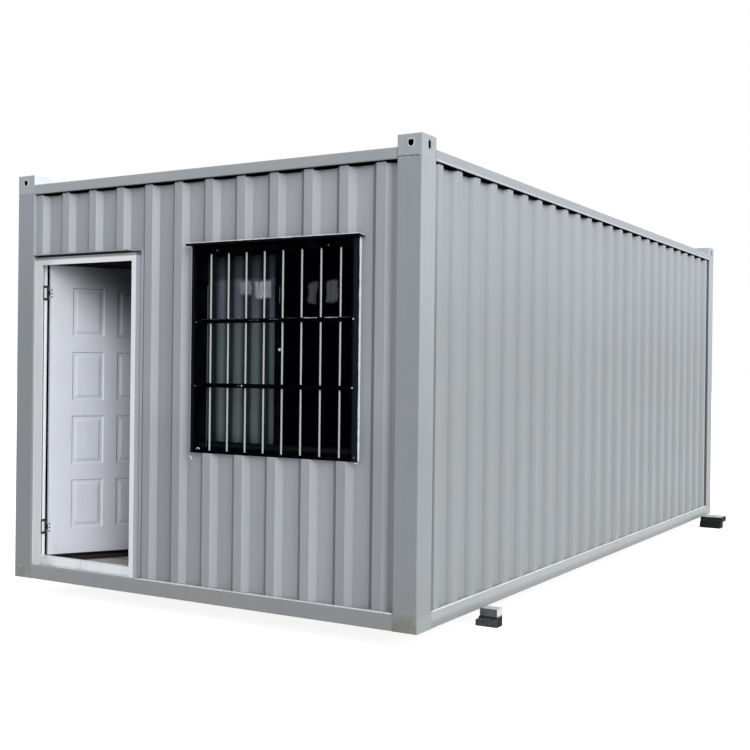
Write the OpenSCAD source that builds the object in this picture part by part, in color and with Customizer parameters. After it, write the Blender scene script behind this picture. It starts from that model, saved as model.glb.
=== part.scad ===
// Steel site office cabin: a welded frame with corner castings, corrugated steel walls,
// a lined room, one inward-opening door and one barred sliding window in the front end.
// Inside each module X runs across the cabin from its centre line, Y runs back from the
// front face of the corner posts, and Z runs up from the underside of the base rails.

/* [Cabin] */
// Width over the corner posts
cabin_w = 2970; // [2700:10:3200]
// Length over the corner posts
cabin_l = 6058; // [4800:10:7400]
// Height from the base rails' underside to the castings' top
cabin_h = 2591; // [2500:1:2900]

/* [Steel frame] */
// Width of a corner post across the cabin
post_w = 150; // [130:1:170]
// Depth of a corner post along the cabin
post_d = 160; // [140:1:180]
// Steel thickness of a corner post
post_t = 5; // [3:1:8]
// Inside radius of a corner post's folds
post_ri = 4; // [2:1:8]
// Height of the base rails
rail_h = 90; // [80:1:120]
// Width of the base rails
rail_w = 60; // [56:1:80]
// Steel thickness of the base rails
rail_t = 4; // [3:1:6]
// Inside radius of the rails' corners
rail_ri = 3; // [1:1:5]
// Side of the square roof rails
roof_rail = 60; // [56:1:80]
// Steel thickness of the roof rails
roof_rail_t = 3; // [2:1:5]
// Height of a top casting
casting_h = 113; // [105:1:125]
// Wall of a top casting
casting_t = 14; // [10:1:18]
// Radius of the castings' upright edges
casting_r = 7; // [3:1:10]
// Height of the castings' top above the roof rails
casting_rise = 61; // [50:1:70]

/* [Corrugated sheet] */
// Steel thickness of the sheets
sheet_t = 2; // [1:0.5:3]
// Depth of the corrugation
corr_depth = 30; // [20:1:34]
// Width of a ridge's flat face
ridge_w = 57; // [45:1:65]
// Width of a sloping side, seen from the front
slope_w = 35; // [25:1:40]
// Ridge spacing on the end walls
end_pitch = 230.6; // [200:0.1:260]
// Ridge spacing on the side walls and the roof
side_pitch = 232.4; // [200:0.1:260]
// Offset of a front ridge from the centre line
front_ridge_x = 75.6; // [0:0.1:115]
// Distance of the first side ridge from the front face
side_ridge_y = 226; // [190:1:300]
// Setback of the end walls' ridges behind the posts
end_set = 20; // [10:1:22]
// Setback of the side walls' ridges behind the posts
side_set = 8; // [4:1:20]

/* [Lining and floor] */
// Thickness of the insulated lining panels
lining_t = 40; // [30:1:60]
// Gap between the ceiling panel and the roof rails above it
ceiling_gap = 30; // [10:1:60]
// Thickness of the ceiling panel
ceiling_t = 40; // [20:1:50]
// Thickness of the floor deck
deck_t = 22; // [18:1:28]
// Thickness of the floor covering
covering_t = 3; // [2:1:5]
// Number of floor cross members
member_count = 13; // [8:1:16]
// Width of a floor cross member
member_w = 50; // [40:1:80]

/* [Door] */
// Width of the clear doorway
door_w = 761; // [700:1:800]
// Height of the threshold's top
door_z = 150; // [140:1:170]
// Height of the clear doorway
door_h = 1861; // [1800:1:1950]
// Width of the hinge-side jamb's face
hinge_jamb_w = 66; // [55:1:80]
// Width of the lock-side jamb's face
lock_jamb_w = 42; // [35:1:60]
// Height of the door head's face
head_h = 48; // [40:1:60]
// Setback of the door frame behind the posts
door_set = 10; // [4:1:16]
// Width of the lip that the closed leaf shuts behind
lip_w = 8; // [7:1:14]
// Thickness of that lip
lip_t = 8; // [5:1:12]
// Thickness of the door leaf
leaf_t = 38; // [36:1:50]
// Gap round the closed leaf
leaf_gap = 5.5; // [5:0.5:7]
// Angle at which the door stands open
door_open = 59; // [0:1:90]
// Height of a hinge
hinge_h = 96; // [80:1:120]
// Distance of each hinge from the leaf's end
hinge_inset = 178; // [120:1:260]
// Outside diameter of a hinge knuckle
knuckle_d = 12; // [10:0.5:14]
// Diameter of a hinge pin
pin_d = 6; // [4:0.5:7]

/* [Window] */
// Width over the window casing
win_w = 1150; // [900:1:1250]
// Height over the window casing
win_h = 1208; // [900:1:1250]
// Height of the window casing's underside
win_z = 870; // [820:1:950]
// Distance of the window's centre from the centre line
win_x = 528; // [450:1:560]
// Wall of the window casing
casing_t = 12; // [8:1:16]
// Width of the window frame's face
frame_w = 24; // [18:1:30]
// Width of a sash's stiles
stile_w = 48; // [36:1:56]
// Height of a sash's rails
sash_rail_h = 28; // [22:1:40]
// Thickness of a sash
sash_t = 18; // [14:1:19]
// Thickness of the glass
glass_t = 6; // [4:1:8]
// Number of upright window bars
bar_count = 8; // [4:1:10]
// Spacing of the window bars
bar_pitch = 127; // [110:1:130]
// Diameter of a window bar
bar_d = 10; // [8:1:16]
// Offset of the bars from the window's centre
bar_shift = 7; // [0:1:12]
// Width of the flat steel round the window bars
flat_w = 40; // [30:1:45]
// Width of the flat steel under the window bars
sill_flat_w = 17; // [14:1:30]
// Thickness of that flat steel
flat_t = 4; // [3:1:6]
// Height of a cross bar
cross_h = 25; // [20:1:40]
// Height of the lower cross bar above the casing's underside
cross_low = 395; // [250:1:450]
// Distance of the upper cross bar below the casing's top
cross_high = 442; // [250:1:450]
// Reach of the awning in front of the posts
awning_out = 10; // [6:1:60]

/* [Support blocks] */
// Height of the lower blocks
lower_h = 57; // [40:1:100]
// Height of the upper blocks
upper_h = 48; // [30:1:100]
// Bearing of the front blocks under the side base rails
front_bearing = 15; // [10:1:50]
// Bearing of the rear blocks under the side base rails
rear_bearing = 23; // [15:1:50]

/* [Hidden] */
$fn = 48;
// Overlap of a cutting solid past the face it cuts
over = 1;

base_z = lower_h + upper_h;
front_y = awning_out / 2 - cabin_l / 2;
half_w = cabin_w / 2;
span_w = cabin_w - 2 * post_w;
span_l = cabin_l - 2 * post_d;
roof_z = cabin_h - casting_rise;
sheet_top = roof_z - roof_rail;
casting_z = cabin_h - casting_h;
end_back = end_set + corr_depth + sheet_t;
side_back = side_set + corr_depth + sheet_t;
floor_z = rail_h + deck_t + covering_t;
ceiling_z = sheet_top - ceiling_gap - ceiling_t;
lining_h = ceiling_z - floor_z;

// Doorway: its clear opening runs from door_x0 to door_x1
door_x0 = -half_w + post_w + hinge_jamb_w;
door_x1 = door_x0 + door_w;
jamb_x1 = door_x1 + lock_jamb_w;
head_z = door_z + door_h;
head_top = head_z + head_h;
frame_d = end_back - door_set;
// Width and height of the leaf, its outer face and the hinge axis
leaf_w = door_w + 2 * lip_w - 2 * leaf_gap - 2;
leaf_h = door_h + lip_w - 2 * leaf_gap;
leaf_z = door_z + leaf_gap;
leaf_x = door_x0 - lip_w + leaf_gap + 2;
leaf_y = door_set + lip_t + leaf_gap;
pivot_x = leaf_x - 4;
pivot_y = leaf_y + leaf_t + knuckle_d / 2;
plate_t = 2.5;
hinge_zs = [leaf_z + hinge_inset, leaf_z + leaf_h - hinge_inset];
// Gap left between the doorway's lining edges and the door's hinge side and free side
lining_gap = 16;
cap_t = 3;
cap_lip = 8;
cap_gap = 13;
cap_z = head_top + cap_gap;

// Window: its casing runs from win_x0 to win_x1
win_x0 = win_x - win_w / 2;
win_x1 = win_x + win_w / 2;
win_top = win_z + win_h;
awning_x0 = win_x0 - 26;
awning_x1 = win_x1 + 16;
awning_t = 3;
awning_lip = 12;
win_back = end_back + lining_t;
cross_zs = [win_z + cross_low, win_top - cross_high];

// Draws its children in the cabin's place above the ground
module cabin_place() {
  translate([0, front_y, base_z]) children();
}

// Draws its children at the left end and mirrored at the right
module both_sides() {
  children();
  mirror([1, 0, 0]) children();
}

// Draws its children at the front and mirrored at the rear
module both_ends() {
  children();
  translate([0, cabin_l, 0]) mirror([0, 1, 0]) children();
}

// A rectangle with round corners, from its low corner
module round_rect(width, height, radius) {
  for (x = [radius, width - radius]) for (y = [radius, height - radius])
    translate([x, y]) circle(radius);
  translate([radius, 0]) square([width - 2 * radius, height]);
  translate([0, radius]) square([width, height - 2 * radius]);
}

// Section of a rectangular steel tube, from its low corner
module tube_outline(width, height, wall, inner_r) {
  difference() {
    round_rect(width, height, inner_r + wall);
    translate([wall, wall]) round_rect(width - 2 * wall, height - 2 * wall, inner_r);
  }
}

// A rectangular steel tube along X, from its low corner
module tube_x(length, depth, height, wall) {
  rotate([90, 0, 90]) linear_extrude(length) tube_outline(depth, height, wall, rail_ri);
}

// A rectangular steel tube along Y, from its low corner
module tube_y(length, width, height, wall) {
  translate([0, length, 0]) rotate([90, 0, 0])
    linear_extrude(length) tube_outline(width, height, wall, rail_ri);
}

// Outline of a corrugated sheet between two places along X, with its ridges' faces at Y 0
module corrugated_outline(x0, x1, ridge_x, pitch) {
  first = floor((x0 - ridge_x) / pitch) - 1;
  last = ceil((x1 - ridge_x) / pitch) + 1;
  half = ridge_w / 2;
  face = [
    for (k = [first:last])
      let (c = ridge_x + k * pitch)
        each [
          [c - half - slope_w, corr_depth], [c - half, 0],
          [c + half, 0], [c + half + slope_w, corr_depth]
        ]
  ];
  back = [for (i = [len(face) - 1:-1:0]) face[i] + [0, sheet_t]];
  polygon(concat(face, back));
}

// A corrugated sheet from x0 to x1, standing up from Z 0 to its height
module corrugated(x0, x1, height, ridge_x, pitch) {
  intersection() {
    linear_extrude(height) corrugated_outline(x0, x1, ridge_x, pitch);
    translate([x0, -over, -over])
      cube([x1 - x0, corr_depth + sheet_t + 2 * over, height + 2 * over]);
  }
}

// A part of the front wall's sheet between two places across and two heights
module front_sheet(x0, x1, z0, z1) {
  translate([0, end_set, z0]) corrugated(x0, x1, z1 - z0, front_ridge_x, end_pitch);
}

// A part of the front wall's lining between two places across and two heights
module front_lining(x0, x1, z0, z1) {
  translate([x0, end_back, z0]) cube([x1 - x0, lining_t, z1 - z0]);
}

// The stack of blocks at each corner: its distance from the cabin's end, its reach out past
// the rail and its length along the cabin
front_stack = [795, 93, 75];
rear_stack = [93, 172, 190];
// A lower block reaches in past the upper one. The front one's inner end is broken away, and
// the rear one is narrower and shorter than the block on it
front_step = 27;
break_drop = 22;
break_in = 20;
rear_step = 6;
rear_short = [10, 74];

module lower_support_blocks() {
  x0 = half_w - front_bearing - front_step;
  x1 = half_w + front_stack[1];
  color("#2a2b2d") cabin_place() both_sides() {
    translate([0, front_stack[0] + front_stack[2], -base_z]) rotate([90, 0, 0])
      linear_extrude(front_stack[2])
        polygon([
          [x0, 0], [x1, 0], [x1, lower_h], [x0 + break_in, lower_h],
          [x0 + break_in - 3, lower_h - break_drop], [x0, lower_h - break_drop]
        ]);
    translate([half_w - rear_bearing - rear_step, cabin_l - rear_stack[0] - rear_stack[2], -base_z])
      cube([rear_bearing + rear_step + rear_stack[1] - rear_short[0],
            rear_stack[2] - rear_short[1], lower_h]);
  }
}

module upper_support_blocks() {
  color("#55575a") cabin_place() both_sides() translate([half_w, 0, -upper_h]) {
    translate([-front_bearing, front_stack[0], 0])
      cube([front_bearing + front_stack[1], front_stack[2], upper_h]);
    translate([-rear_bearing, cabin_l - rear_stack[0] - rear_stack[2], 0])
      cube([rear_bearing + rear_stack[1], rear_stack[2], upper_h]);
  }
}

// Solid corners between the base rails, rounded like the post at their outer edge only
module bottom_corner_blocks() {
  color("#8e9496") cabin_place() both_ends() both_sides()
    translate([half_w - post_w, 0, 0])
      linear_extrude(rail_h)
        union() {
          round_rect(post_w, post_d, post_ri + post_t);
          square([post_w / 2, post_d]);
          translate([0, post_d / 2]) square([post_w, post_d / 2]);
        }
}

module end_base_rails() {
  color("#8a8f90") cabin_place() both_ends()
    translate([-span_w / 2, 0, 0]) tube_x(span_w, rail_w, rail_h, rail_t);
}

module side_base_rails() {
  color("#9ba09f") cabin_place() both_sides()
    translate([half_w - rail_w, post_d, 0]) tube_y(span_l, rail_w, rail_h, rail_t);
}

// Channel-section members between the side rails, with tops flush with them
module floor_cross_members() {
  length = cabin_w - 2 * rail_w;
  step = span_l / (member_count + 1);
  color("#777c7d") cabin_place()
    for (k = [1:member_count])
      translate([-length / 2, post_d + k * step - member_w / 2, 0])
        difference() {
          cube([length, member_w, rail_h]);
          translate([-over, rail_t, rail_t])
            cube([length + 2 * over, member_w, rail_h - 2 * rail_t]);
        }
}

// Plan of the room's floor and ceiling, notched round the corner posts
module room_slab(z0, height) {
  translate([0, 0, z0])
    difference() {
      translate([side_back - half_w, end_back, 0])
        cube([cabin_w - 2 * side_back, cabin_l - 2 * end_back, height]);
      both_ends() both_sides()
        translate([half_w - post_w, -over, -over])
          cube([post_w + over, post_d + over, height + 2 * over]);
    }
}

module floor_deck() {
  color("#8b6f4e") cabin_place() room_slab(rail_h, deck_t);
}

module floor_covering() {
  color("#7d7872") cabin_place() room_slab(rail_h + deck_t, covering_t);
}

module post() {
  translate([half_w - post_w, 0, rail_h])
    linear_extrude(casting_z - rail_h) tube_outline(post_w, post_d, post_t, post_ri);
}

module front_posts() {
  color("#93989f") cabin_place() both_sides() post();
}

module rear_posts() {
  color("#93989f") cabin_place() translate([0, cabin_l, 0]) mirror([0, 1, 0]) both_sides() post();
}

// Sizes of a top casting's holes: the end hole has a flat top and a round bottom, the side
// hole is an upright slot and the top hole is a slot along the cabin
end_hole = [34, 38];
end_hole_x = 68;
side_hole = [31, 49];
side_hole_y = 80;
top_hole = [56, 104];
hole_drop = 49;

// A top casting with its outer corner at X 0, Y 0; it reaches to -X, +Y and down to Z 0
module casting() {
  shell = 2 * casting_t;
  hole_z = casting_h - hole_drop;
  slot_r = side_hole[0] / 2;
  difference() {
    translate([-post_w, 0, 0]) linear_extrude(casting_h) round_rect(post_w, post_d, casting_r);
    translate([casting_t - post_w, casting_t, casting_t])
      cube([post_w - shell, post_d - shell, casting_h - shell]);
    // End hole
    translate([-end_hole_x, -over, hole_z]) rotate([-90, 0, 0])
      linear_extrude(casting_t + 2 * over)
        union() {
          circle(d = end_hole[0]);
          translate([-end_hole[0] / 2, end_hole[0] / 2 - end_hole[1]])
            square([end_hole[0], end_hole[1] - end_hole[0] / 2]);
        }
    // Side hole
    translate([-casting_t - over, side_hole_y, hole_z]) rotate([90, 0, 90])
      linear_extrude(casting_t + 2 * over)
        union() {
          for (s = [-1, 1]) translate([0, s * (side_hole[1] / 2 - slot_r)]) circle(slot_r);
          square([side_hole[0], side_hole[1] - 2 * slot_r], center = true);
        }
    // Top hole
    translate([-post_w / 2, post_d / 2, casting_h - casting_t - over])
      linear_extrude(casting_t + 2 * over)
        union() {
          for (s = [-1, 1]) translate([0, s * (top_hole[1] - top_hole[0]) / 2])
            circle(d = top_hole[0]);
          square([top_hole[0], top_hole[1] - top_hole[0]], center = true);
        }
  }
}

module right_casting() {
  translate([half_w, 0, casting_z]) casting();
}

module front_right_casting() {
  color("#9a9fa4") cabin_place() right_casting();
}

module front_left_casting() {
  color("#9a9fa4") cabin_place() mirror([1, 0, 0]) right_casting();
}

module rear_right_casting() {
  color("#9a9fa4") cabin_place() translate([0, cabin_l, 0]) mirror([0, 1, 0]) right_casting();
}

module rear_left_casting() {
  color("#9a9fa4") cabin_place() translate([0, cabin_l, 0]) rotate([0, 0, 180]) right_casting();
}

module end_roof_rails() {
  color("#a9aeb2") cabin_place() both_ends()
    translate([-span_w / 2, 0, sheet_top]) tube_x(span_w, roof_rail, roof_rail, roof_rail_t);
}

module side_roof_rails() {
  color("#b5babb") cabin_place() both_sides()
    translate([half_w - roof_rail, post_d, sheet_top])
      tube_y(span_l, roof_rail, roof_rail, roof_rail_t);
}

// Corrugated roof with its folds across the cabin, let in between the roof rails
module roof_sheet() {
  length = cabin_l - 2 * roof_rail;
  width = cabin_w - 2 * roof_rail;
  color("#a4a9ad") cabin_place()
    difference() {
      translate([-width / 2, 0, roof_z - over]) rotate([90, 0, 90]) mirror([0, 1, 0])
        corrugated(roof_rail, roof_rail + length, width, side_ridge_y, side_pitch);
      both_ends() both_sides()
        translate([half_w - post_w, -over, casting_z - over])
          cube([post_w + over, post_d + over, casting_h + 2 * over]);
    }
}

module ceiling() {
  color("#e4e5e2") cabin_place() room_slab(ceiling_z, ceiling_t);
}

// The right-hand side wall's sheet between the posts
module side_sheet() {
  translate([half_w - side_set, 0, rail_h]) rotate([0, 0, 90])
    corrugated(post_d, cabin_l - post_d, sheet_top - rail_h, side_ridge_y, side_pitch);
}

module right_wall_sheet() {
  color("#b3b8b9") cabin_place() side_sheet();
}

module left_wall_sheet() {
  color("#b3b8b9") cabin_place() mirror([1, 0, 0]) side_sheet();
}

module rear_wall_sheet() {
  color("#9aa0a4") cabin_place() translate([0, cabin_l, 0]) mirror([0, 1, 0])
    front_sheet(-span_w / 2, span_w / 2, rail_h, sheet_top);
}

module front_sheet_over_door() {
  color("#9aa0a4") cabin_place()
    front_sheet(-span_w / 2, jamb_x1, cap_z + cap_t, sheet_top);
}

// Where the awning's ends let into the folds beside the window
module awning_slots() {
  translate([awning_x0, 0, win_top])
    cube([awning_x1 - awning_x0, end_set + corr_depth, awning_t]);
  for (x = [awning_x0, awning_x1 - awning_t])
    translate([x, 0, win_top]) cube([awning_t, end_set + corr_depth, awning_lip]);
}

module front_sheet_centre() {
  color("#9aa0a4") cabin_place()
    difference() {
      front_sheet(jamb_x1, win_x0, rail_h, sheet_top);
      awning_slots();
    }
}

module front_sheets_at_window() {
  color("#9aa0a4") cabin_place() {
    front_sheet(win_x0, win_x1, rail_h, win_z);
    front_sheet(win_x0, win_x1, win_top + awning_t, sheet_top);
  }
}

module front_sheet_corner() {
  color("#9aa0a4") cabin_place()
    difference() {
      front_sheet(win_x1, span_w / 2, rail_h, sheet_top);
      awning_slots();
    }
}

module side_lining() {
  translate([half_w - side_back - lining_t, post_d, floor_z])
    cube([lining_t, span_l, lining_h]);
}

module right_lining() {
  color("#e9e9e4") cabin_place() side_lining();
}

module left_lining() {
  color("#e9e9e4") cabin_place() mirror([1, 0, 0]) side_lining();
}

module rear_lining() {
  color("#e9e9e4") cabin_place() translate([0, cabin_l, 0]) mirror([0, 1, 0])
    front_lining(-span_w / 2, span_w / 2, floor_z, ceiling_z);
}

// Edges of the lining round the doorway
lining_x0 = door_x0 - lip_w - lining_gap / 2;
lining_x1 = door_x1 + lip_w + lining_gap / 2;
lining_door_top = head_z + lip_w + lining_gap / 2;

module front_lining_over_door() {
  color("#e9e9e4") cabin_place() front_lining(lining_x0, lining_x1, lining_door_top, ceiling_z);
}

module front_lining_by_hinge() {
  color("#e9e9e4") cabin_place() front_lining(-span_w / 2, lining_x0, floor_z, ceiling_z);
}

module front_lining_centre() {
  color("#e9e9e4") cabin_place() front_lining(lining_x1, win_x0, floor_z, ceiling_z);
}

module front_linings_at_window() {
  color("#e9e9e4") cabin_place() {
    front_lining(win_x0, win_x1, floor_z, win_z);
    front_lining(win_x0, win_x1, win_top, ceiling_z);
  }
}

module front_lining_corner() {
  color("#e9e9e4") cabin_place() front_lining(win_x1, span_w / 2, floor_z, ceiling_z);
}

// A jamb's section: a full-width lip in front and a rebate behind it for the leaf
module jamb(face_w, height) {
  cube([face_w, lip_t, height]);
  cube([face_w - lip_w, frame_d, height]);
}

module door_jambs() {
  height = head_z + lip_w - rail_h;
  color("#d9dde2") cabin_place() {
    translate([door_x0 - hinge_jamb_w, door_set, rail_h]) jamb(hinge_jamb_w, height);
    translate([jamb_x1, door_set, rail_h]) mirror([1, 0, 0]) jamb(lock_jamb_w, height);
  }
}

module door_head() {
  width = hinge_jamb_w + door_w + lock_jamb_w;
  color("#d9dde2") cabin_place() {
    translate([door_x0, door_set, head_z]) cube([door_w, lip_t, lip_w]);
    translate([door_x0 - hinge_jamb_w, door_set, head_z + lip_w])
      cube([width, frame_d, head_h - lip_w]);
  }
}

module door_threshold() {
  foot_h = 12;
  foot_in = 6;
  color("#d9dde2") cabin_place() {
    translate([door_x0, door_set, rail_h + foot_h])
      cube([door_w, lip_t, door_z - rail_h - foot_h]);
    translate([door_x0 - lip_w, door_set + lip_t, rail_h + foot_h])
      cube([door_w + 2 * lip_w, frame_d - lip_t, door_z - rail_h - foot_h]);
    translate([door_x0, door_set + foot_in, rail_h]) cube([door_w, lip_t, foot_h + over]);
  }
}

// Folded rain cap: a ledge that the wall sheet stands on, on a web set back over the head
module door_rain_cap() {
  x0 = -span_w / 2;
  ledge_w = 812;
  web_y = 40;
  color("#8d9296") cabin_place() {
    translate([x0, -door_set / 2, cap_z]) cube([ledge_w, end_back + door_set / 2, cap_t]);
    translate([x0, -door_set / 2, cap_z]) cube([ledge_w, cap_t, cap_lip]);
    translate([x0, web_y, head_top]) cube([jamb_x1 - x0, cap_t, cap_gap + over]);
  }
}

// Draws its children, made with the door shut, at the angle where the door stands
module door_swing() {
  cabin_place() translate([pivot_x, pivot_y, 0]) rotate([0, 0, door_open])
    translate([-pivot_x, -pivot_y, 0]) children();
}

// Panels of the leaf: columns from its edges, moved a little towards the lock, and rows down
// from its top. Each is a recess with sloping sides round a raised field
panel_w = 206;
panel_h = 313;
panel_side = 133;
panel_shift = 11;
panel_top = 140;
panel_step = 414;
panel_rows = 4;
recess_d = 6;
recess_slope = 5;
field_in = 14;
field_rise = 4.5;
field_slope = 16;

// A block with sloping sides, its large face from the low corner at Y 0, narrowing along +Y
module bevelled_block(width, depth, height, slope) {
  intersection() {
    linear_extrude(height)
      polygon([[0, 0], [width, 0], [width - slope, depth], [slope, depth]]);
    rotate([90, 0, 90]) linear_extrude(width)
      polygon([[0, 0], [0, height], [depth, height - slope], [depth, slope]]);
  }
}

// The cut that one panel makes in a face at Y 0, going in along +Y
module leaf_panel_cut() {
  base_in = recess_slope + field_in;
  difference() {
    union() {
      bevelled_block(panel_w, recess_d, panel_h, recess_slope);
      translate([0, -over, 0]) cube([panel_w, over, panel_h]);
    }
    translate([base_in, recess_d, panel_h - base_in]) rotate([180, 0, 0])
      bevelled_block(panel_w - 2 * base_in, field_rise, panel_h - 2 * base_in, field_slope);
  }
}

module leaf_panel_cuts() {
  for (row = [0:panel_rows - 1])
    for (x = [panel_side, leaf_w - panel_side - panel_w])
      translate([x + panel_shift, 0, leaf_h - panel_top - panel_h - row * panel_step]) leaf_panel_cut();
}

module door_leaf() {
  color("#c9ced6") door_swing() translate([leaf_x, leaf_y, leaf_z])
    difference() {
      cube([leaf_w, leaf_t, leaf_h]);
      leaf_panel_cuts();
      translate([0, leaf_t, 0]) mirror([0, 1, 0]) leaf_panel_cuts();
    }
}

// Knuckles take the middle third of each hinge on the leaf and the outer thirds on the frame
knuckle_gap = 1;
pin_clearance = 0.08;

module hinge_knuckle(z0, z1) {
  translate([pivot_x, pivot_y, z0]) cylinder(d = knuckle_d, h = z1 - z0);
}

module door_frame_hinges() {
  plate_x = door_x0 - lip_w;
  plate_y = door_set + lip_t + 4;
  third = hinge_h / 3;
  color("#c4c8cc") cabin_place()
    for (z = hinge_zs)
      translate([0, 0, z - hinge_h / 2]) {
        for (z0 = [0, 2 * third + knuckle_gap]) {
          hinge_knuckle(z0, z0 + third - knuckle_gap);
          translate([plate_x, pivot_y - 10, z0]) cube([pivot_x - plate_x, 10, third - knuckle_gap]);
        }
        translate([plate_x, plate_y, 0]) cube([plate_t, pivot_y - plate_y - 7, hinge_h]);
        translate([pivot_x, pivot_y, 0]) cylinder(d = pin_d, h = hinge_h);
      }
}

module door_leaf_hinges() {
  third = hinge_h / 3;
  color("#c4c8cc") door_swing()
    for (z = hinge_zs)
      translate([0, 0, z - hinge_h / 2])
        difference() {
          union() {
            hinge_knuckle(third + knuckle_gap / 2, 2 * third - knuckle_gap / 2);
            translate([leaf_x - plate_t, leaf_y + 10, third + knuckle_gap / 2])
              cube([plate_t, leaf_t - 10 + knuckle_d / 2, third - knuckle_gap]);
          }
          translate([pivot_x, pivot_y, 0]) cylinder(d = pin_d + 2 * pin_clearance, h = hinge_h);
        }
}

// A lever handle on a long plate, on each face of the leaf
module door_handle() {
  plate = [38, 8, 220];
  lever_l = 120;
  lever_d = 18;
  neck = 42;
  centre_x = leaf_x + leaf_w - 60;
  centre_z = 1050;
  color("#8f9397") door_swing() translate([centre_x, 0, centre_z])
    for (side = [0, 1])
      translate([0, leaf_y + side * leaf_t, 0]) mirror([0, side, 0]) {
        translate([-plate[0] / 2, -plate[1], -plate[2] / 2]) cube(plate);
        translate([0, -plate[1] - neck, 30]) rotate([-90, 0, 0]) cylinder(d = lever_d, h = neck);
        translate([-lever_l, -plate[1] - neck, 30]) rotate([0, 90, 0])
          cylinder(d = lever_d, h = lever_l + lever_d / 2);
      }
}

// A frame in the wall's plane, from its low corner, with sides and rails of their own widths
module upright_frame(width, depth, height, side, bottom, top) {
  difference() {
    cube([width, depth, height]);
    translate([side, -over, bottom])
      cube([width - 2 * side, depth + 2 * over, height - bottom - top]);
  }
}

module window_casing() {
  y0 = end_set + flat_t;
  color("#16181b") cabin_place() translate([win_x0, y0, win_z])
    upright_frame(win_w, win_back - y0, win_h, casing_t, casing_t, casing_t);
}

// The frame's tracks start behind the window bars
track_y = end_back;

module window_frame() {
  color("#1b1d20") cabin_place() translate([win_x0 + casing_t, track_y, win_z + casing_t])
    upright_frame(win_w - 2 * casing_t, win_back - track_y, win_h - 2 * casing_t,
                  frame_w, frame_w, frame_w);
}

// Sashes: the left one slides in the outer track, and they overlap by a stile at the middle
sash_x0 = win_x0 + casing_t + frame_w;
sash_x1 = win_x1 - casing_t - frame_w;
sash_z = win_z + casing_t + frame_w;
sash_h = win_h - 2 * (casing_t + frame_w);
meet_x = win_x + 26;
inner_y = track_y + sash_t + 2;

module window_sashes() {
  color("#15171a") cabin_place() {
    translate([sash_x0, track_y, sash_z])
      upright_frame(meet_x + stile_w / 2 - sash_x0, sash_t, sash_h, stile_w, sash_rail_h, sash_rail_h);
    translate([meet_x - stile_w / 2, inner_y, sash_z])
      upright_frame(sash_x1 - meet_x + stile_w / 2, sash_t, sash_h, stile_w, sash_rail_h, sash_rail_h);
  }
}

module window_glass() {
  seat = (sash_t - glass_t) / 2;
  pane_h = sash_h - 2 * sash_rail_h;
  color("#48565a") cabin_place() {
    translate([sash_x0 + stile_w, track_y + seat, sash_z + sash_rail_h])
      cube([meet_x - stile_w / 2 - sash_x0 - stile_w, glass_t, pane_h]);
    translate([meet_x + stile_w / 2, inner_y + seat, sash_z + sash_rail_h])
      cube([sash_x1 - meet_x - 1.5 * stile_w, glass_t, pane_h]);
  }
}

// Folded awning: a ledge over the window with an upstand along its front edge, which a
// gusset stays at each end
module window_awning() {
  width = awning_x1 - awning_x0;
  reach = awning_out + end_set + corr_depth;
  color("#16181b") cabin_place() {
    translate([win_x0, -awning_out, win_top]) cube([win_w, awning_out + end_back, awning_t]);
    translate([awning_x0, -awning_out, win_top]) {
      cube([width, reach, awning_t]);
      cube([width, awning_t, awning_lip]);
      for (x = [0, width - awning_t])
        translate([x, 0, 0]) rotate([90, 0, 90]) linear_extrude(awning_t)
          polygon([[0, 0], [0, awning_lip], [awning_t, awning_lip], [reach, awning_t], [reach, 0]]);
    }
  }
}

module window_bars() {
  color("#d3cfc8") cabin_place()
    for (k = [0:bar_count - 1])
      translate([win_x + bar_shift + (k - (bar_count - 1) / 2) * bar_pitch,
                 end_set + flat_t + bar_d / 2, win_z + casing_t])
        cylinder(d = bar_d, h = win_h - 2 * casing_t, $fn = 24);
}

// Flat steel round the bars and across them
module window_bar_frame() {
  top_flat = flat_w + casing_t;
  color("#101214") cabin_place() translate([0, end_set, 0]) {
    translate([win_x0, 0, win_z])
      upright_frame(win_w, flat_t, win_h, flat_w, sill_flat_w, top_flat);
    for (z = cross_zs)
      translate([win_x0 + flat_w / 2, 0, z - cross_h / 2])
        cube([win_w - flat_w, flat_t, cross_h]);
  }
}

lower_support_blocks();
upper_support_blocks();
bottom_corner_blocks();
end_base_rails();
side_base_rails();
floor_cross_members();
floor_deck();
floor_covering();
front_posts();
rear_posts();
front_left_casting();
front_right_casting();
rear_left_casting();
rear_right_casting();
end_roof_rails();
side_roof_rails();
roof_sheet();
ceiling();
right_wall_sheet();
left_wall_sheet();
rear_wall_sheet();
front_sheet_over_door();
front_sheet_centre();
front_sheets_at_window();
front_sheet_corner();
right_lining();
left_lining();
rear_lining();
front_lining_over_door();
front_lining_by_hinge();
front_lining_centre();
front_linings_at_window();
front_lining_corner();
door_jambs();
door_head();
door_threshold();
door_rain_cap();
door_frame_hinges();
door_leaf();
door_leaf_hinges();
door_handle();
window_casing();
window_frame();
window_sashes();
window_glass();
window_awning();
window_bars();
window_bar_frame();
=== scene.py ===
"""Site office cabin: looks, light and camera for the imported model."""
import math
import random

import bmesh
import bpy
from mathutils import Matrix, Vector


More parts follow.
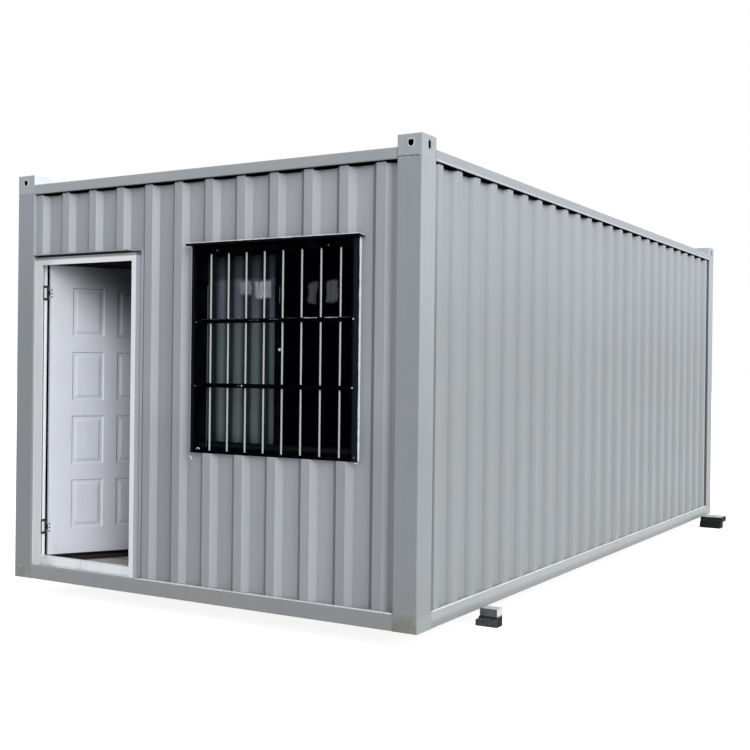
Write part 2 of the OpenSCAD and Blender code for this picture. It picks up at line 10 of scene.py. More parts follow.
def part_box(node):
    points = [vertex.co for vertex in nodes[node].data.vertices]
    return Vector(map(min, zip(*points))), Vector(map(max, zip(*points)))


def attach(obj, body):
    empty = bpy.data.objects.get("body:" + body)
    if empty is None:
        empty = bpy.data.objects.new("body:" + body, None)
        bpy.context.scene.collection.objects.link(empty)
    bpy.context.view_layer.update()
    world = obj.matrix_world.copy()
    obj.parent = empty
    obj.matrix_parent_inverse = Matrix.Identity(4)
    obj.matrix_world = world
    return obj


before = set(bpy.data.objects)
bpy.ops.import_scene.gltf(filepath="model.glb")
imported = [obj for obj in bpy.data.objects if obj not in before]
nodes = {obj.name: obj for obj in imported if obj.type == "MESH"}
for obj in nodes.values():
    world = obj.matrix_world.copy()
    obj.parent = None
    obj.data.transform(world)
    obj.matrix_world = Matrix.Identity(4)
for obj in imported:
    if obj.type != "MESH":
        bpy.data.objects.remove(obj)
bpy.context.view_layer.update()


# --- Studio -------------------------------------------------------------------------------
# A pale floor under the blocks, an even sky, one broad soft lamp high on the right and a
# weaker one behind on the left, and the camera at standing eye height off the front right
# corner.
camera = bpy.data.objects.new("camera", bpy.data.cameras.new("camera"))
bpy.context.collection.objects.link(camera)
bpy.context.scene.camera = camera
camera.data.sensor_width = 36
camera.data.lens = 53.74224
camera.data.clip_end = 200
CAMERA_PLACE = (4.2134, -8.1077, 1.4637)
turn, tilt, roll = (math.radians(v) for v in (30.512, 0.203, 0.674))
away = Vector((math.sin(turn) * math.cos(tilt), -math.cos(turn) * math.cos(tilt), math.sin(tilt)))
across = Vector((math.cos(turn), math.sin(turn), 0))
upward = away.cross(across)
aim = Matrix((across * math.cos(roll) + upward * math.sin(roll),
              upward * math.cos(roll) - across * math.sin(roll), away)).transposed().to_4x4()
camera.matrix_world = Matrix.Translation(CAMERA_PLACE) @ aim

# Each lamp's name, strength, spread in degrees, and the way to it from the cabin.
LAMPS = (("right_lamp", 2.4, 55, (0.82, -0.33, 0.47)),
         ("back_lamp", 1.23, 50, (-0.60, 0.70, 0.35)))
for name, energy, spread, toward in LAMPS:
    lamp = bpy.data.objects.new(name, bpy.data.lights.new(name, "SUN"))
    bpy.context.collection.objects.link(lamp)
    lamp.data.energy = energy
    lamp.data.angle = math.radians(spread)
    lamp.rotation_euler = Vector(toward).to_track_quat("Z", "Y").to_euler()

bpy.context.scene.view_settings.view_transform = "Standard"

# The sky that lights the cabin is a faint blue; the one behind it is seen as plain white.
SKY_LIGHT, SKY_SEEN = ((0.93, 0.96, 1.0, 1), 0.59), ((1, 1, 1, 1), 1.0)
GLOSS_AND_GLASS = ("Is Glossy Ray", "Is Transmission Ray")
sky = bpy.data.worlds.new("sky")
bpy.context.scene.world = sky
sky.use_nodes = True
sky_tree = sky.node_tree
sky_tree.nodes.clear()
sky_out = sky_tree.nodes.new("ShaderNodeOutputWorld")
sky_mix = sky_tree.nodes.new("ShaderNodeMixShader")
sky_path = sky_tree.nodes.new("ShaderNodeLightPath")
for place, (colour, strength) in enumerate((SKY_LIGHT, SKY_SEEN), 1):
    shade = sky_tree.nodes.new("ShaderNodeBackground")
    shade.inputs["Color"].default_value = colour
    shade.inputs["Strength"].default_value = strength
    sky_tree.links.new(shade.outputs[0], sky_mix.inputs[place])
sky_seen = sky_path.outputs["Is Camera Ray"]
for ray in GLOSS_AND_GLASS:
    either = sky_tree.nodes.new("ShaderNodeMath")
    either.operation = "MAXIMUM"
    sky_tree.links.new(sky_seen, either.inputs[0])
    sky_tree.links.new(sky_path.outputs[ray], either.inputs[1])
    sky_seen = either.outputs[0]
sky_tree.links.new(sky_seen, sky_mix.inputs[0])
sky_tree.links.new(sky_mix.outputs[0], sky_out.inputs[0])


class Value:
    """One socket of a finish, so that maths on it reads as Python."""

    def __init__(self, finish, socket):
        self.finish = finish
        self.socket = socket

    def maths(self, operation, *others):
        values = dict(enumerate((self,) + others))
        return self.finish.node("ShaderNodeMath", values, operation=operation)

    def __add__(self, other):
        return self.maths("ADD", other)

    __radd__ = __add__

    def __mul__(self, other):
        return self.maths("MULTIPLY", other)

    __rmul__ = __mul__

    def __sub__(self, other):
        return self.maths("SUBTRACT", other)

    def __rsub__(self, other):
        return self.finish.node("ShaderNodeMath", {0: other, 1: self}, operation="SUBTRACT")

    def __truediv__(self, other):
        return self.maths("DIVIDE", other)

    def __pow__(self, other):
        return self.maths("POWER", other)

    def __abs__(self):
        return self.maths("ABSOLUTE")

    def least(self, other):
        return self.maths("MINIMUM", other)

    def most(self, other):
        return self.maths("MAXIMUM", other)

    def ramp(self, start, end):
        """0 at start, 1 at end, smooth between them; start may be the larger."""
        low, high = (start, end) if start < end else (end, start)
        span = {"Value": self, "From Min": low, "From Max": high}
        eased = self.finish.node("ShaderNodeMapRange", span, interpolation_type="SMOOTHSTEP")
        return eased if start < end else 1 - eased

    def band(self, low, high, soft):
        """1 between two values, falling to 0 over a soft edge outside them."""
        return self.ramp(low - soft, low) * self.ramp(high + soft, high)


class Finish:
    """A surface's material, with its shader's sockets set by name."""

    def __init__(self, name):
        self.material = bpy.data.materials.new(name)
        self.material.use_nodes = True
        self.tree = self.material.node_tree
        self.tree.nodes.clear()
        self.out = self.tree.nodes.new("ShaderNodeOutputMaterial")
        self.shader = self.tree.nodes.new("ShaderNodeBsdfPrincipled")
        self.tree.links.new(self.shader.outputs[0], self.out.inputs[0])
        self.place = self.node("ShaderNodeTexCoord", output="Object")
        self.x, self.y, self.z = self.parts(self.place)

    def parts(self, vector):
        """The three parts of a vector."""
        return [self.node("ShaderNodeSeparateXYZ", {0: vector}, output=axis) for axis in "XYZ"]

    def facing(self):
        """The three parts of the direction that the surface faces on its own piece."""
        return self.parts(self.node("ShaderNodeTexCoord", output="Normal"))

    def up(self, start, end):
        """0 to 1 between two heights in metres above the frame's foot."""
        return self.z.ramp(base + start, base + end)

    def behind(self, start, end):
        """0 to 1 between two distances in metres back from the posts' front face."""
        return self.y.ramp(front + start, front + end)

    def front_half(self):
        """0 to 1 over the first metre forward of the cabin's middle."""
        return self.y.ramp(0.0, -1.0)

    def rear_half(self):
        """0 to 1 over the first metre back from the cabin's middle."""
        return self.y.ramp(0.0, 1.0)

    def link(self, value, socket):
        if isinstance(value, Value):
            self.tree.links.new(value.socket, socket)
        elif isinstance(value, tuple) and len(value) == 3 and socket.type == "RGBA":
            socket.default_value = value + (1,)
        else:
            socket.default_value = value

    def node(self, kind, values=None, output=0, **settings):
        made = self.tree.nodes.new(kind)
        for name, setting in settings.items():
            setattr(made, name, setting)
        for name, value in (values or {}).items():
            self.link(value, made.inputs[name])
        return Value(self, made.outputs[output])

    def noise(self, scale, detail=3.0, stretch=(1, 1, 1), seed=0.0, rough=0.5):
        where = self.node("ShaderNodeMapping", {"Vector": self.place, "Scale": stretch,
                                                "Location": (seed, seed * 1.7, seed * 0.6)})
        return self.node("ShaderNodeTexNoise", {"Vector": where, "Scale": scale,
                                                "Detail": detail, "Roughness": rough})

    def mix(self, amount, first, second):
        """A colour part way from the first to the second."""
        return self.node("ShaderNodeMix", {0: amount, 6: first, 7: second}, output=2,
                         data_type="RGBA")

    def toned(self, colour, tone):
        """A colour made lighter or darker."""
        return self.node("ShaderNodeVectorMath", {0: colour, "Scale": tone}, operation="SCALE")

    def bump(self, height, strength, depth, under=None):
        values = {"Height": height, "Strength": strength, "Distance": depth}
        if under is not None:
            values["Normal"] = under
        return self.node("ShaderNodeBump", values)

    def set(self, **sockets):
        for name, value in sockets.items():
            self.link(value, self.shader.inputs[name.replace("_", " ")])
        return self.material


def coat(material, *names):
    """Gives CAD nodes or pieces a finish."""
    for name in names:
        piece = nodes.get(name) or bpy.data.objects[name]
        for holder in piece.material_slots:
            holder.material = material


# The floor is seen white but lights the cabin as a mid-grey yard does.
FLOOR_REACH = 90
floor_mesh = bpy.data.meshes.new("studio_floor")
floor_mesh.from_pydata([(x * FLOOR_REACH, y * FLOOR_REACH, 0)
                        for x, y in ((-1, -1), (1, -1), (1, 1), (-1, 1))], [], [(0, 1, 2, 3)])
studio_floor = bpy.data.objects.new("studio_floor", floor_mesh)
bpy.context.collection.objects.link(studio_floor)
floor_finish = Finish("studio_floor")
floor_finish.set(Base_Color=(0.45, 0.45, 0.45), Roughness=0.95, Specular_IOR_Level=0.0)
floor_seen = floor_finish.node("ShaderNodeLightPath", output="Is Camera Ray")
for ray in GLOSS_AND_GLASS:
    floor_seen = floor_seen.most(floor_finish.node("ShaderNodeLightPath", output=ray))
floor_light = floor_finish.node("ShaderNodeEmission", {"Color": (1, 1, 1), "Strength": 0.88})
floor_base = Value(floor_finish, floor_finish.shader.outputs[0])
floor_lit = floor_finish.node("ShaderNodeAddShader", {0: floor_base, 1: floor_light})
floor_both = floor_finish.node("ShaderNodeMixShader", {0: floor_seen, 1: floor_base, 2: floor_lit})
floor_finish.link(floor_both, floor_finish.out.inputs[0])
floor_mesh.materials.append(floor_finish.material)


# --- Steel frame --------------------------------------------------------------------------
# Corner posts, base and roof rails and corner blocks are welded steel sections under two
# coats of pale grey enamel. Rain leaves faint runs down it, and road dust sits low down.
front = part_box("front_posts")[0][1]
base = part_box("end_base_rails")[0][2]
# Millimetres: the frame's length, half its width, and the posts' inner faces.
LENGTH, HALF_WIDTH = 6058, 1485
POST_IN, POST_BACK = HALF_WIDTH - 150, 160
DUST = (0.30, 0.285, 0.26)
RUST = (0.19, 0.10, 0.055)


def spot(x, y, z):
    """A place in metres from millimetres across, back from the posts' face and up."""
    return Vector((x / 1000, front + y / 1000, base + z / 1000))


class Enamel(Finish):
    """Sprayed enamel on steel: cloudy, with runs, dust and a few rust specks."""

    def __init__(self, name, colour, seed=0.0, runs=0.10, dust=0.5, rough=0.45, rust=0.25,
                 dents=0.3):
        super().__init__(name)
        cloud = self.noise(0.8, 4, seed=seed)
        run = self.noise(1.0, 4, (24, 24, 0.5), seed=seed + 3, rough=0.6)
        patch = self.noise(5.5, 5, (1, 1, 0.45), seed=seed + 8, rough=0.62)
        hue = self.noise(3.0, 3, (1, 1, 0.8), seed=seed + 13, rough=0.55)
        self.tone = 1 + (cloud - 0.5) * 0.16 + (run - 0.5) * runs + (patch - 0.5) * 0.10
        warm = tuple(c * f for c, f in zip(colour, (1.012, 0.995, 0.995)))
        cool = tuple(c * f for c, f in zip(colour, (0.988, 1.004, 1.012)))
        self.paint = self.mix(hue.ramp(0.36, 0.64), cool, warm)
        low = self.up(0.62, -0.02)
        self.film = ((patch.ramp(0.36, 0.72) * 0.65 + run.ramp(0.4, 0.75) * 0.5)
                     * (low ** 1.6) * dust)
        self.specks = (self.noise(48, 2, seed=seed + 5).ramp(0.70, 0.76) * patch.ramp(0.52, 0.66)
                       * low * rust)
        wave = self.noise(3.2, 2, (1, 1, 0.5), seed=seed + 2)
        soft = self.bump(wave, 0.25 * dents, 0.02)
        grain = self.bump(self.noise(620, 1, seed=seed), 0.10, 0.0004, soft)
        self.set(Roughness=rough + (patch - 0.5) * 0.16 + self.film * 0.3, Normal=grain,
                 Specular_IOR_Level=0.3)

    def done(self):
        dusty = self.mix(self.film, self.toned(self.paint, self.tone), DUST)
        return self.set(Base_Color=self.mix(self.specks, dusty, RUST))


# The posts are a little darker toward the left and paler toward their tops. Their side faces
# carry a painted highlight from mid-height up, the left posts are paler high up, and the rear
# posts' inner faces, in the gap beside the side sheets, are darkened as painted shade.
posts = Enamel("post_enamel", (0.316, 0.335, 0.352), seed=1.0)
post_x, post_y, _ = posts.facing()
post_inner_shade = post_y.ramp(-0.5, -0.9) * posts.behind(5.0, 5.1)
post_highlight = (abs(post_x).ramp(0.3, 0.7) * posts.up(0.8, 1.95) * 0.20
             + posts.x.ramp(-1.0, -1.3) * posts.up(1.65, 2.4) * 0.24)
posts.tone = (posts.tone * (1 - posts.x.ramp(0.6, -1.4) * 0.14) * (1 + post_highlight)
              * (1 + posts.up(1.3, 2.3) * posts.x.ramp(-1.0, 1.0) * 0.13)
              * (1 - post_inner_shade * 0.55))
posts.paint = posts.mix(post_highlight.ramp(0.0, 0.2) * 0.8, posts.paint, (0.316, 0.333, 0.366))
coat(posts.done(), "front_posts", "rear_posts")
# The roof rails' lowest few millimetres are painted lighter as a painted highlight.
end_rail = Enamel("end_rail_enamel", (0.402, 0.424, 0.437), seed=2.0)
end_rail.tone = end_rail.tone * (1 + end_rail.up(2.475, 2.4715) * 0.4)
coat(end_rail.done(), "end_roof_rails")
side_rail = Enamel("side_rail_enamel", (0.397, 0.416, 0.434), seed=3.0)
side_rail.tone = side_rail.tone * (1 + side_rail.up(2.484, 2.478) * 0.45)
coat(side_rail.done(), "side_roof_rails")
end_base = Enamel("end_base_enamel", (0.330, 0.344, 0.354), seed=4.0, dust=0.6, rust=0.6)
coat(end_base.done(), "end_base_rails")
# The corner blocks have an olive bloom of damp on their end faces.
corner_base = Enamel("corner_block_enamel", (0.328, 0.349, 0.345), seed=4.6, dust=0.35, rust=0.8)
corner_damp = corner_base.noise(14, 4, seed=6).ramp(0.35, 0.62) * corner_base.up(0.1, 0.05)
corner_end = abs(corner_base.facing()[1]).ramp(0.5, 0.9)
corner_base.tone = corner_base.tone * (1.04 - corner_end * 0.09)
corner_base.film = corner_base.film * (0.25 + corner_end * 0.75)
corner_base.paint = corner_base.mix(corner_damp * corner_end * 0.9, corner_base.paint,
                                    (0.225, 0.235, 0.19))
coat(corner_base.done(), "bottom_corner_blocks")
side_base = Enamel("side_base_enamel", (0.421, 0.442, 0.450), seed=5.0, dust=0.25, rust=0.3)
side_base.tone = side_base.tone * (0.66 + side_base.up(0.020, 0.060) * 0.33)
coat(side_base.done(), "side_base_rails")


# --- Corner castings ----------------------------------------------------------------------
# Each top corner is a hollow steel casting with lifting holes, shot-blasted and painted
# with the frame. Its face keeps the pitted skin of the mould, and a pale rim lies round each
# hole. The inside is painted near-black as shade, and some faces carry painted light.


def keep(made, name, body, material, smooth=False):
    """Makes a mesh object from a bmesh and ties it to its body."""
    bmesh.ops.recalc_face_normals(made, faces=made.faces)
    mesh = bpy.data.meshes.new(name)
    made.to_mesh(mesh)
    made.free()
    mesh.materials.append(material)
    for face in mesh.polygons:
        face.use_smooth = smooth
    piece = bpy.data.objects.new(name, mesh)
    bpy.context.collection.objects.link(piece)
    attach(piece, body)
    return piece


def loft(made, rings):
    """Joins closed rings of places into one capped solid."""
    rows = [[made.verts.new(p) for p in ring] for ring in rings]
    count = len(rows[0])
    for low, high in zip(rows, rows[1:]):
        for k in range(count):
            j = (k + 1) % count
            made.faces.new([low[k], low[j], high[j], high[k]])
    made.faces.new(rows[0][::-1])
    made.faces.new(rows[-1])


def bead(made, path, out, width, rise, seed, step=0.014, wander=0.25):
    """A bead laid by hand along a run, domed away from the surface and never quite even."""
    chance = random.Random(seed)
    places = []
    for a, b in zip(path, path[1:]):
        count = max(1, round((b - a).length / step))
        places += [a.lerp(b, k / count) for k in range(count)]
    places.append(path[-1])
    out = out.normalized()
    rings, swell = [], 1.0
    for k, place in enumerate(places):
        along = places[min(k + 1, len(places) - 1)] - places[max(k - 1, 0)]
        side = along.normalized().cross(out).normalized()
        swell += (1 + chance.uniform(-wander, wander) - swell) * 0.5
        end = 0.45 if k in (0, len(places) - 1) else 1.0
        rings.append([place + side * (math.cos(a) * width / 2 * swell * end)
                      + out * (math.sin(a) * rise * swell * end)
                      for a in (math.radians(v) for v in (-12, 20, 55, 90, 125, 160, 192))])
    loft(made, rings)


def casting_paint():
    paint = Finish("cast_enamel")
    cloud = paint.noise(6, 4, seed=7)
    worn = paint.noise(30, 4, seed=9, rough=0.65)
    tone = 1 + (cloud - 0.5) * 0.22 + (worn - 0.5) * 0.12
    # Painted light: faces toward the right on the left castings, and toward the front on the rear
    # ones, are lighter.
    tone = tone * (1 + paint.facing()[0].ramp(0.3, 0.7) * paint.x.ramp(-1.0, -1.2) * 0.75)
    tone = tone * (1 + paint.facing()[1].ramp(-0.3, -0.7) * paint.rear_half() * 0.35)
    clean = paint.toned((0.455, 0.480, 0.500), tone)
    chip = worn.ramp(0.66, 0.72) * cloud.ramp(0.5, 0.62) * 0.5
    chipped = paint.mix(chip, clean, (0.17, 0.15, 0.14))
    # How deep a place lies under the nearest of the casting's six outer faces.
    middle = front + LENGTH / 2000
    spans = ((abs(paint.x), POST_IN / 1000, HALF_WIDTH / 1000),
             (abs(paint.y - middle), LENGTH / 2000 - POST_BACK / 1000, LENGTH / 2000),
             (paint.z - base, 2.478, 2.591))
    depths = [(high - along).least(along - low) for along, low, high in spans]
    nearest = depths[0].least(depths[1]).least(depths[2])
    # Painted shade: the inside is near-black, a little less dark in the rear castings.
    dark = nearest.ramp(0.0030, 0.0045) * (1 - paint.rear_half() * 0.3)
    return paint.set(Base_Color=paint.mix(dark, chipped, (0.002, 0.002, 0.003)), Roughness=0.6,
                     Specular_IOR_Level=0.04,
                     Normal=paint.bump(paint.noise(240, 3, seed=2), 0.45, 0.0012))


coat(casting_paint(), "front_left_casting", "front_right_casting",
     "rear_left_casting", "rear_right_casting")

rim_paint = Finish("rim_enamel")
rim_cloud = rim_paint.noise(60, 3, seed=3)
rim_paint.set(Base_Color=rim_paint.toned((0.56, 0.58, 0.60), 0.85 + rim_cloud * 0.3),
              Roughness=0.5, Normal=rim_paint.bump(rim_cloud, 0.3, 0.0008))
# A shield-shaped hole's radius, rise over it and place across, in each end; a slot's radius,
# half length and place back, in each side; and the height of both.
END_HOLE, END_TOP, END_ACROSS = 19, 22.5, 1417
SIDE_HOLE, SIDE_HALF, SIDE_BACK = 16.5, 9, 80
HOLE_UP = 2542
rims, slots = bmesh.new(), bmesh.new()
for side in (-1, 1):
    for y, out in ((0, -1), (LENGTH, 1)):
        arc = [math.radians(v) for v in range(180, 361, 15)]
        ring = [(math.cos(a) * END_HOLE, math.sin(a) * END_HOLE) for a in arc]
        ring += [(END_HOLE, END_TOP), (-END_HOLE, END_TOP)]
        ring = [spot(side * (END_ACROSS + a), y + out * 0.2, HOLE_UP + b) for a, b in ring]
        bead(rims, ring + ring[:2], Vector((0, out, 0)), 0.0080, 0.0016, 5, step=0.006)
    for y in (SIDE_BACK, LENGTH - SIDE_BACK):
        arc = [math.radians(v) for v in range(0, 181, 15)]
        ring = [(math.cos(a) * SIDE_HOLE, SIDE_HALF + math.sin(a) * SIDE_HOLE) for a in arc]
        ring += [(-a, -b) for a, b in ring]
        ring = [spot(side * (HALF_WIDTH + 0.2), y + a, HOLE_UP + b) for a, b in ring]
        bead(slots, ring + ring[:2], Vector((side, 0, 0)), 0.003, 0.0010, 6, step=0.006)
keep(rims, "casting_hole_rims", "cabin", rim_paint.material, smooth=True)
keep(slots, "casting_slot_rims", "cabin", posts.material, smooth=True)


# --- Welds --------------------------------------------------------------------------------
# Run by hand along the joints of the frame's blocks, posts and castings, and painted over. A
# run is a row of small overlapping drops, at a steady pitch on the joint's line.


def add_node(tree, kind, values=None, **settings):
    made = tree.nodes.new(kind)
    for name, setting in settings.items():
        setattr(made, name, setting)
    for name, value in (values or {}).items():
        if isinstance(value, bpy.types.NodeSocket):
            tree.links.new(value, made.inputs[name])
        else:
            made.inputs[name].default_value = value
    return made


def start_tree(name, *inputs):
    """A geometry tree with named sizes and a paint: its inputs, and its lines as curves."""
    tree = bpy.data.node_groups.new(name, "GeometryNodeTree")
    tree.interface.new_socket("Geometry", in_out="OUTPUT", socket_type="NodeSocketGeometry")
    for label, kind in (("Geometry", "Geometry"), ("Paint", "Material")) + inputs:
        tree.interface.new_socket(label, in_out="INPUT", socket_type="NodeSocket" + kind)
    inside = tree.nodes.new("NodeGroupInput").outputs
    line = add_node(tree, "GeometryNodeMeshToCurve", {"Mesh": inside["Geometry"]})
    return tree, inside, line.outputs["Curve"]


def end_tree(tree, inside, made):
    """Turns what the tree made into plain painted faces."""
    solid = add_node(tree, "GeometryNodeRealizeInstances", {0: made.outputs[0]})
    painted = add_node(tree, "GeometryNodeSetMaterial", {0: solid.outputs[0],
                       "Material": inside["Paint"]})
    add_node(tree, "NodeGroupOutput", {0: painted.outputs[0]})
    return tree


def grow(name, body, tree, verts, edges, slot, **sizes):
    """Runs a geometry tree over points or lines and keeps the result as a plain mesh."""
    mesh = bpy.data.meshes.new(name)
    mesh.from_pydata([tuple(v) for v in verts], edges, [])
    piece = bpy.data.objects.new(name, mesh)
    bpy.context.collection.objects.link(piece)
    made_by = piece.modifiers.new("made_by", "NODES")
    made_by.node_group = tree
    for item in tree.interface.items_tree:
        key = item.name.replace(" ", "_").lower()
        if item.in_out == "INPUT" and key in sizes:
            made_by[item.identifier] = sizes[key]
    seen = piece.evaluated_get(bpy.context.evaluated_depsgraph_get())
    plain = bpy.data.meshes.new_from_object(seen)
    piece.modifiers.clear()
    piece.data = plain
    plain.name = name
    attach(piece, body)
    return piece


def lines(*runs):
    """Points and edges for open runs of places."""
    verts, edges = [], []
    for run in runs:
        edges += [(len(verts) + k, len(verts) + k + 1) for k in range(len(run) - 1)]
        verts += run
    return verts, edges


def weld_tree():
    tree, inside, line = start_tree("weld_run", ("Bead width", "Float"), ("Pitch", "Float"))
    drops = add_node(tree, "GeometryNodeCurveToPoints", {"Curve": line, "Length": inside["Pitch"]},
                     mode="LENGTH")
    drop = add_node(tree, "GeometryNodeMeshIcoSphere", {"Radius": 0.5, "Subdivisions": 2})
    size = add_node(tree, "FunctionNodeRandomValue", {2: 0.82, 3: 1.15, "Seed": 4},
                    data_type="FLOAT")
    width = add_node(tree, "ShaderNodeMath", {0: size.outputs[1], 1: inside["Bead width"]},
                     operation="MULTIPLY")
    rows = add_node(tree, "GeometryNodeInstanceOnPoints", {"Points": drops.outputs["Points"],
                    "Instance": drop.outputs["Mesh"], "Scale": width.outputs[0]})
    return end_tree(tree, inside, rows)


weld_runs = weld_tree()
# Heights of the corner blocks' tops, and of the roof rails' end joints.
BLOCK_TOP, RAIL_FOOT, RAIL_TOP = 90, 2476, 2524
joints = []
for side in (-1, 1):
    out, inner = side * HALF_WIDTH, side * POST_IN
    for y0, y1 in ((0, POST_BACK), (LENGTH, LENGTH - POST_BACK)):
        joints.append([spot(inner, y0, BLOCK_TOP), spot(out - side * 9, y0, BLOCK_TOP)])
        joints.append([spot(out, y0 + (y1 - y0) * 0.06, BLOCK_TOP), spot(out, y1, BLOCK_TOP)])
        joints.append([spot(inner, y0, RAIL_FOOT), spot(inner, y0, RAIL_TOP)])
grow("frame_welds", "cabin", weld_runs, *lines(*joints), "frame_paint",
     bead_width=0.0032, pitch=0.0026, paint=posts.material)


def mottled(name, dark, light, cloud, grain, bump, span=None, **shader):
    """A skin that drifts between two colours, under a fine grain of its own bump."""
    skin = Finish(name)
    drift = skin.noise(*cloud)
    if span:
        drift = drift.ramp(*span)
    return skin.set(Base_Color=skin.mix(drift, dark, light),
                    Normal=skin.bump(skin.noise(*grain), *bump), **shader)


# The joints under two castings' end faces, front right and rear left, were never filled and
# show dark, with a pale lip below part of each that is a painted highlight.
joint_dirt = mottled("joint_dirt", (0.07, 0.075, 0.08), (0.17, 0.175, 0.18), (90, 3), (300, 2),
                     (0.3, 0.0005), Roughness=0.8, Specular_IOR_Level=0.1)
GAP_UP, LIP_UP = 2479, 2471.5
gaps, lips = bmesh.new(), bmesh.new()
for side, y, out in ((1, -0.2, -1), (-1, LENGTH + 0.2, 1)):
    chance = random.Random(7)
    run = [spot(side * x, y, GAP_UP + chance.uniform(-2.2, 2.2)) for x in range(1337, 1480, 11)]
    bead(gaps, run, Vector((0, out, 0)), 0.0052, 0.0009, 3, wander=0.5)
    low = [spot(side * x, y, LIP_UP + chance.uniform(-1.5, 1.5)) for x in range(1340, 1420, 10)]
    bead(lips, low, Vector((0, out, 0)), 0.004, 0.0011, 4, wander=0.4)
keep(gaps, "casting_joints", "cabin", joint_dirt, smooth=True)
keep(lips, "casting_paint_lips", "cabin", rim_paint.material, smooth=True)


# --- Corrugated walls and roof ------------------------------------------------------------
# Pressed steel sheets with upright folds, butted and stitched to the frame, then sprayed
# with the same enamel, paler toward their tops. On the side walls the folds' slopes carry
# painted shade, and the valleys beside the posts are darkened as painted shade. The
# thin sheet is never quite flat, so its gloss wanders.
wall = Enamel("wall_enamel", (0.303, 0.321, 0.331), seed=11.0, runs=0.14, dust=0.4, dents=1.0)
wall_slope_shade = abs(wall.facing()[1]).ramp(0.3, 0.5)
wall_depth = abs(wall.x).ramp(1.448, 1.476)
wall_joint_shade = (wall.behind(0.200, 0.194).most(wall.behind(5.862, 5.872))
              * abs(wall.x).ramp(1.440, 1.444))
wall_high = wall.up(1.35, 2.42)
wall_near = wall.behind(2.4, 0.2)
wall.tone = wall.tone * 1.055 * (1 - wall_slope_shade * (1 - wall_depth) * (0.11 + wall_near * 0.08))
wall.tone = (wall.tone * (1 - wall_joint_shade * (0.42 - wall_high * 0.22))
             * (1 + wall_high * (0.17 + wall_near * 0.04)))
wall.paint = wall.mix(wall_high * 0.85, wall.paint, (0.303, 0.320, 0.349))
coat(wall.done(), "right_wall_sheet", "left_wall_sheet", "roof_sheet")

# On the end walls the folds' left slopes carry painted shade and the right ones a painted
# highlight, the valleys are painted lighter toward the right, and the strip beside the door's
# lock-side jamb is painted lighter as painted light.
end_wall = Enamel("end_wall_enamel", (0.386, 0.396, 0.421), seed=17.0, runs=0.16, dust=0.45,
                  rough=0.46, dents=1.0)
fold_x, fold_y, _ = end_wall.facing()
fold_out = abs(fold_y).ramp(0.3, 0.5)
fold_shade = fold_x.ramp(-0.3, -0.5) * fold_out
fold_lit = fold_x.ramp(0.3, 0.5) * fold_out
wall_right = end_wall.x.ramp(-0.5, 1.3)
fold_valley = end_wall.behind(0.040, 0.049) * (1 - fold_shade) * (1 - fold_lit)
end_wall.tone = (end_wall.tone * (1 - fold_shade * 0.42)
                 * (1 + fold_lit * (0.16 - end_wall.x.ramp(-0.3, 0.3) * 0.10))
                 * (0.985 + wall_right * 0.045) * (1 + fold_valley * wall_right * 0.13))
end_low = end_wall.up(1.3, 0.9)
end_edge = (end_wall.x.ramp(0.85, 1.0) + end_wall.x.ramp(0.0, -0.2)) * end_wall.front_half()
end_wall.tone = (end_wall.tone * (1 + end_wall.up(1.9, 2.4) * 0.055)
                 * (1 - end_edge * end_low * 0.12))
beside_jamb_light = (end_wall.x.ramp(-0.443, -0.451) * end_wall.x.ramp(-0.50, -0.48)
               * end_wall.up(2.09, 2.06) * end_wall.front_half())
end_wall.tone = end_wall.tone * (1 + beside_jamb_light * 0.72)
coat(end_wall.done(), "rear_wall_sheet", "front_sheet_over_door", "front_sheet_centre",
     "front_sheets_at_window", "front_sheet_corner")


# Half the width of a fold over its ridge and at its foot.
FOLD_RIDGE, FOLD_FOOT = 28.5, 63.5


def ridge_line(start, end, ridge, pitch, peak, valley, inset):
    """The sheet's outer outline along its wall: pairs of distance along and setback."""
    outline = []
    k = math.floor((start - ridge) / pitch) - 1
    while ridge + k * pitch < end + pitch:
        c = ridge + k * pitch
        outline += [(c - FOLD_FOOT, valley), (c - FOLD_RIDGE, peak),
                    (c + FOLD_RIDGE, peak), (c + FOLD_FOOT, valley)]
        k += 1
    kept = []
    for (a, p), (b, q) in zip(outline, outline[1:]):
        for edge in (start, end):
            if a < edge < b:
                kept.append((edge, p + (q - p) * (edge - a) / (b - a)))
        if start < b < end:
            kept.append((b, q))
    return [(a, p + inset) for a, p in sorted(set(kept))]


# A ridge's place along the wall, the folds' pitch, and the ridges' and valleys' setbacks.
END_FOLDS = (75.6, 230.6, 20, 50)
SIDE_FOLDS = (226, 232.4, 8, 38)
END_RUN, SIDE_RUN = (-POST_IN, POST_IN), (POST_BACK, LENGTH - POST_BACK)
WALLS = (
    ("front", END_FOLDS, *END_RUN, spot),
    ("rear", END_FOLDS, *END_RUN, lambda a, p, z: spot(a, LENGTH - p, z)),
    ("right", SIDE_FOLDS, *SIDE_RUN, lambda a, p, z: spot(HALF_WIDTH - p, a, z)),
    ("left", SIDE_FOLDS, *SIDE_RUN, lambda a, p, z: spot(p - HALF_WIDTH, a, z)),
)


# --- Sealant, and a painted highlight along the walls' feet -------------------------------
# The ledge that each base rail leaves in front of the sheet's folds is painted with the
# wall, and a white bead runs straight along it, just behind the rail's face, as a painted
# highlight for the ledge's lit edge.
sealant = Finish("white_sealant")
sealant_cloud = sealant.noise(7, 4, seed=2, rough=0.6)
sealant_grime = sealant.noise(26, 4, seed=5, rough=0.65).ramp(0.50, 0.72) * 0.6
sealant_clean = sealant.toned((0.75, 0.765, 0.78), 0.9 + sealant_cloud * 0.2)
sealant.set(Base_Color=sealant.mix(sealant_grime, sealant_clean, (0.52, 0.52, 0.51)),
            Roughness=0.55, Specular_IOR_Level=0.3,
            Normal=sealant.bump(sealant.noise(90, 3), 0.3, 0.0008))


